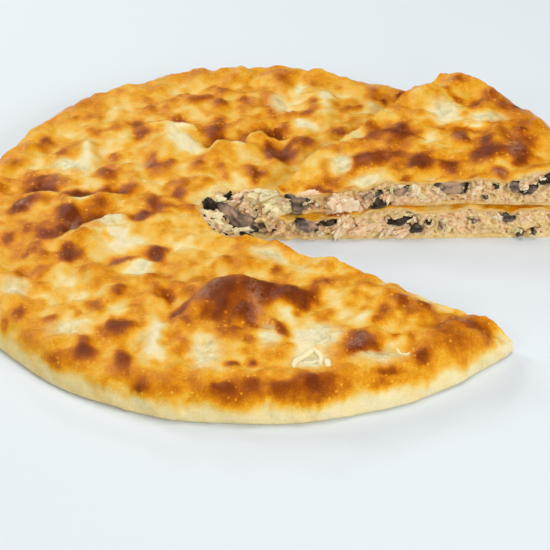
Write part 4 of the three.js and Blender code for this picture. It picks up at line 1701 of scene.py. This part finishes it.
def add_shreds(cut_face, start, reach, gap_range, rows, detail=4):
    """Scatters shreds of chicken and crumbs of cheese over a cut face, in rows of uneven spacing."""
    along = start
    while along < reach:
        base, top = filling_span(cut_face, along)
        room = top - base
        for row in range(rows):
            height = base + room * (0.5 + row) / rows + shred_draw.uniform(-1.6, 1.6)
            length = shred_draw.uniform(2.0, 4.6)
            size = (length, shred_draw.uniform(1.4, 2.2), shred_draw.uniform(0.8, 2.2))
            out = shred_draw.uniform(-2.0, -0.9)
            place = cut_face.place(along + shred_draw.uniform(-2.5, 2.5), out, height)
            axes = cut_face.turned(shred_draw.uniform(-50.0, 50.0))
            seed = shred_draw.uniform(0.0, 90.0)
            tone = shred_draw.uniform(0.35, 1.1)
            kind = chicken if shred_draw.random() < 0.55 else cheese
            add_lump(kind, place, axes, size, seed, 0.6, tone, detail)
        along += shred_draw.uniform(*gap_range)


# Crumbs that close the hollows round the mushrooms.
for cut_face, rows in ((pie_far_cut, pie_far_mushrooms), (slice_front_cut, slice_front_mushrooms)):
    for along, height, width, tall, tilt, *rest in rows:
        axes = cut_face.turned(tilt)
        base, top = filling_span(cut_face, along)
        for number in range(4 + int(width / 3.0)):
            bearing = shred_draw.uniform(0.0, 2.0 * math.pi)
            spread = shred_draw.uniform(0.50, 0.64)
            edge = axes @ Vector((width * spread * math.cos(bearing), 0.0, tall * spread * math.sin(bearing)))
            place = cut_face.place(along, shred_draw.uniform(-0.6, 0.5), height) + edge
            place.z = min(max(place.z, base + 1.5), top - 2.5)
            size = shred_draw.uniform(0.8, 2.1, 3)
            kind = chicken if number % 2 else cheese
            add_lump(kind, place, axes, size, along + number, 0.6, shred_draw.uniform(0.45, 0.9))

close = (5.0, 9.0)
sparse = (14.0, 22.0)
add_shreds(pie_far_cut, 22.0, 100.0, close, 3)
add_shreds(pie_far_cut, 100.0, 150.0, sparse, 2)
add_shreds(slice_front_cut, 24.0, 100.0, close, 3)
add_shreds(slice_front_cut, 100.0, 156.0, sparse, 2)
add_shreds(pie_near_cut, 8.0, 126.0, close, 2, 3)
add_shreds(slice_left_cut, 18.0, 150.0, close, 2, 3)

# In the torn middle: place, size, turn.
tear_cheese = [
    ((-23.0, -3.6, 12.6), (4.0, 3.2, 3.0), 40),
    ((-21.4, -7.6, 11.2), (3.6, 3.0, 2.8), 20),
    ((-16.6, -7.2, 8.2), (3.4, 3.0, 2.8), 0),
    ((-9.0, -4.4, 4.8), (5.0, 2.6, 2.2), -10),
    ((-13.0, -6.8, 6.2), (3.0, 2.4, 2.2), 30),
    ((-21.0, 10.2, 14.4), (3.4, 2.6, 2.4), 0),
    ((-27.4, -5.0, 15.4), (2.6, 3.0, 2.2), 10),
    ((-2.5, 12.0, 13.8), (5.5, 4.5, 3.8), 20),
    ((3.0, 14.0, 15.6), (6.0, 5.0, 3.6), -10),
    ((4.5, 9.0, 15.4), (6.0, 5.0, 4.0), 0),
    ((8.0, 11.0, 17.0), (6.0, 6.0, 4.0), 30),
    ((9.0, 4.0, 16.4), (6.0, 5.0, 4.0), 10),
    ((13.0, 1.5, 19.0), (4.5, 4.0, 5.0), 0),
    ((11.0, -1.5, 16.0), (5.0, 3.5, 3.4), -15),
    ((6.5, 0.5, 15.0), (5.0, 3.5, 3.0), 15),
    ((15.5, -2.2, 18.0), (3.6, 2.6, 4.2), 0),
    ((8.5, -32.0, 9.5), (2.6, 2.0, 3.6), 0),
]
tear_chicken = [
    ((12.4, 2.4, 18.6), (3.4, 2.0, 2.4), 70),
    ((14.6, -0.4, 21.0), (3.6, 1.8, 1.9), 10),
    ((13.6, 5.2, 21.0), (2.6, 2.2, 2.4), 50),
    ((10.4, 4.6, 17.2), (2.8, 1.8, 1.8), 30),
    ((-13.8, 11.0, 12.8), (4.4, 2.4, 2.0), 35),
    ((-9.6, 13.8, 14.8), (4.6, 2.2, 1.9), 35),
    ((-5.8, 15.8, 16.2), (3.8, 2.2, 1.8), 30),
    ((-8.0, 9.2, 11.6), (4.4, 2.6, 2.4), 10),
    ((-3.0, 6.5, 9.0), (4.2, 2.6, 2.2), -20),
    ((5.0, 0.5, 4.6), (4.6, 2.4, 2.0), -25),
]
tear_kinds = [(cheese, tear_cheese, 7.0, 0.4, 1.05), (chicken, tear_chicken, 19.0, 0.5, 0.75)]
for kind, rows, seed, rough, tone in tear_kinds:
    for number, (place, size, turn) in enumerate(rows):
        axes = Matrix.Rotation(math.radians(turn), 3, "Z")
        add_lump(kind, Vector(place), axes, size, seed + number, rough, tone, 4)

# Strings of cheese melted onto the top: points of each in plan, then its thickness.
cheese_strings = [
    ([(18.4, -138), (18.6, -133), (21.0, -129.0), (24.4, -125.6), (27.6, -123.4), (29.4, -124.6)], 1.5),
    ([(29.0, -123.8), (30.6, -126.4), (31.4, -130), (31.0, -135)], 1.4),
    ([(23, -133.5), (25.6, -131.6), (28.6, -131), (31, -131.6)], 1.3),
    ([(34, -132), (34.6, -137)], 1.5),
    ([(67.8, -119.8), (69.8, -124.6), (72.4, -127.6), (74, -123.6)], 0.7),
]


def add_string(mesh, points, thick):
    """Adds a string of cheese that lies on the pie's top along the points."""
    tone_layer = mesh.verts.layers.float.get("tone")
    path = curve_through(points, 12)
    height = pie_height + pie_relief(path[:, 0], path[:, 1]) + 0.05 * thick
    ahead = np.gradient(path, axis=0)
    ahead /= np.hypot(ahead[:, 0], ahead[:, 1])[:, None]
    made = bmesh.ops.create_uvsphere(mesh, u_segments=10, v_segments=len(path) + 1, radius=1.0)["verts"]
    for vert in made:
        down = math.acos(max(-1.0, min(1.0, vert.co.z))) / math.pi
        station = min(int(down * len(path)), len(path) - 1)
        ring = math.hypot(vert.co.x, vert.co.y)
        round_end = min(1.0, 2.5 * ring) / max(ring, 1e-6)
        width = thick * round_end * (1.0 + 0.35 * noise.noise((0.4 * station, thick, points[0][0])))
        side = Vector((-ahead[station, 1], ahead[station, 0], 0.0))
        middle = Vector((path[station, 0], path[station, 1], height[station]))
        vert.co = middle + vert.co.x * width * side + Vector((0.0, 0.0, 0.7 * vert.co.y * width))
        vert[tone_layer] = 1.15


for points, thick in cheese_strings:
    add_string(cheese, points, thick)

# Fine crumbs of both on the torn wall.
fine_crumbs = 110
for number in range(fine_crumbs):
    axes = tumbled(crumb_draw)
    size = crumb_draw.uniform(0.7, 2.2, 3)
    place = on_tear(crumb_draw, 0.1)
    tone = crumb_draw.uniform(0.4, 1.0)
    add_lump(chicken if number % 2 else cheese, place, axes, size, 30.0 + number, 0.6, tone)
chicken_pieces = as_object("chicken", chicken, [chicken_meat()])
cheese_pieces = as_object("cheese", cheese, [white_cheese()])
for piece in (chicken_pieces, cheese_pieces):
    finish_piece(piece)

# Floor and light
# A plain pale floor under the pie. Wide soft lights from above, from the front and from both sides
# light it evenly, and two smaller ones behind it give the browned skin its sheen.
floor_mesh = bmesh.new()
bmesh.ops.create_grid(floor_mesh, x_segments=1, y_segments=1, size=4.0)
floor_finish, _, floor_surface = new_finish("pale_floor")
set_inputs(floor_surface, {"Base Color": (0.76, 0.82, 0.857, 1.0), "Roughness": 0.7})
floor = as_object("floor", floor_mesh, [floor_finish])


def soft_light(name, place, size, power):
    """A square studio light that faces the pie."""
    data = bpy.data.lights.new(name, "AREA")
    data.size = size
    data.energy = power
    light = bpy.data.objects.new(name, data)
    light.location = place
    light.rotation_euler = (-Vector(place)).to_track_quat("-Z", "Y").to_euler()
    bpy.context.collection.objects.link(light)


soft_light("top_light", (0.2, 0.1, 1.5), 0.9, 10.0)
soft_light("right_light", (1.2, -0.9, 0.8), 0.6, 10.6)
soft_light("left_light", (-1.0, -1.1, 0.9), 0.8, 4.8)
soft_light("back_light", (-1.3, 0.9, 0.9), 0.5, 12.4)
soft_light("front_light", (0.4, -1.6, 0.6), 0.8, 5.6)
soft_light("sheen_light", (-0.45, 1.45, 0.75), 0.22, 4.0)
world = bpy.data.worlds.new("studio")
world.use_nodes = True
set_inputs(world.node_tree.nodes["Background"], {"Color": (1.0, 1.0, 1.0, 1.0), "Strength": 0.13})
bpy.context.scene.world = world
bpy.context.scene.view_settings.view_transform = "Standard"
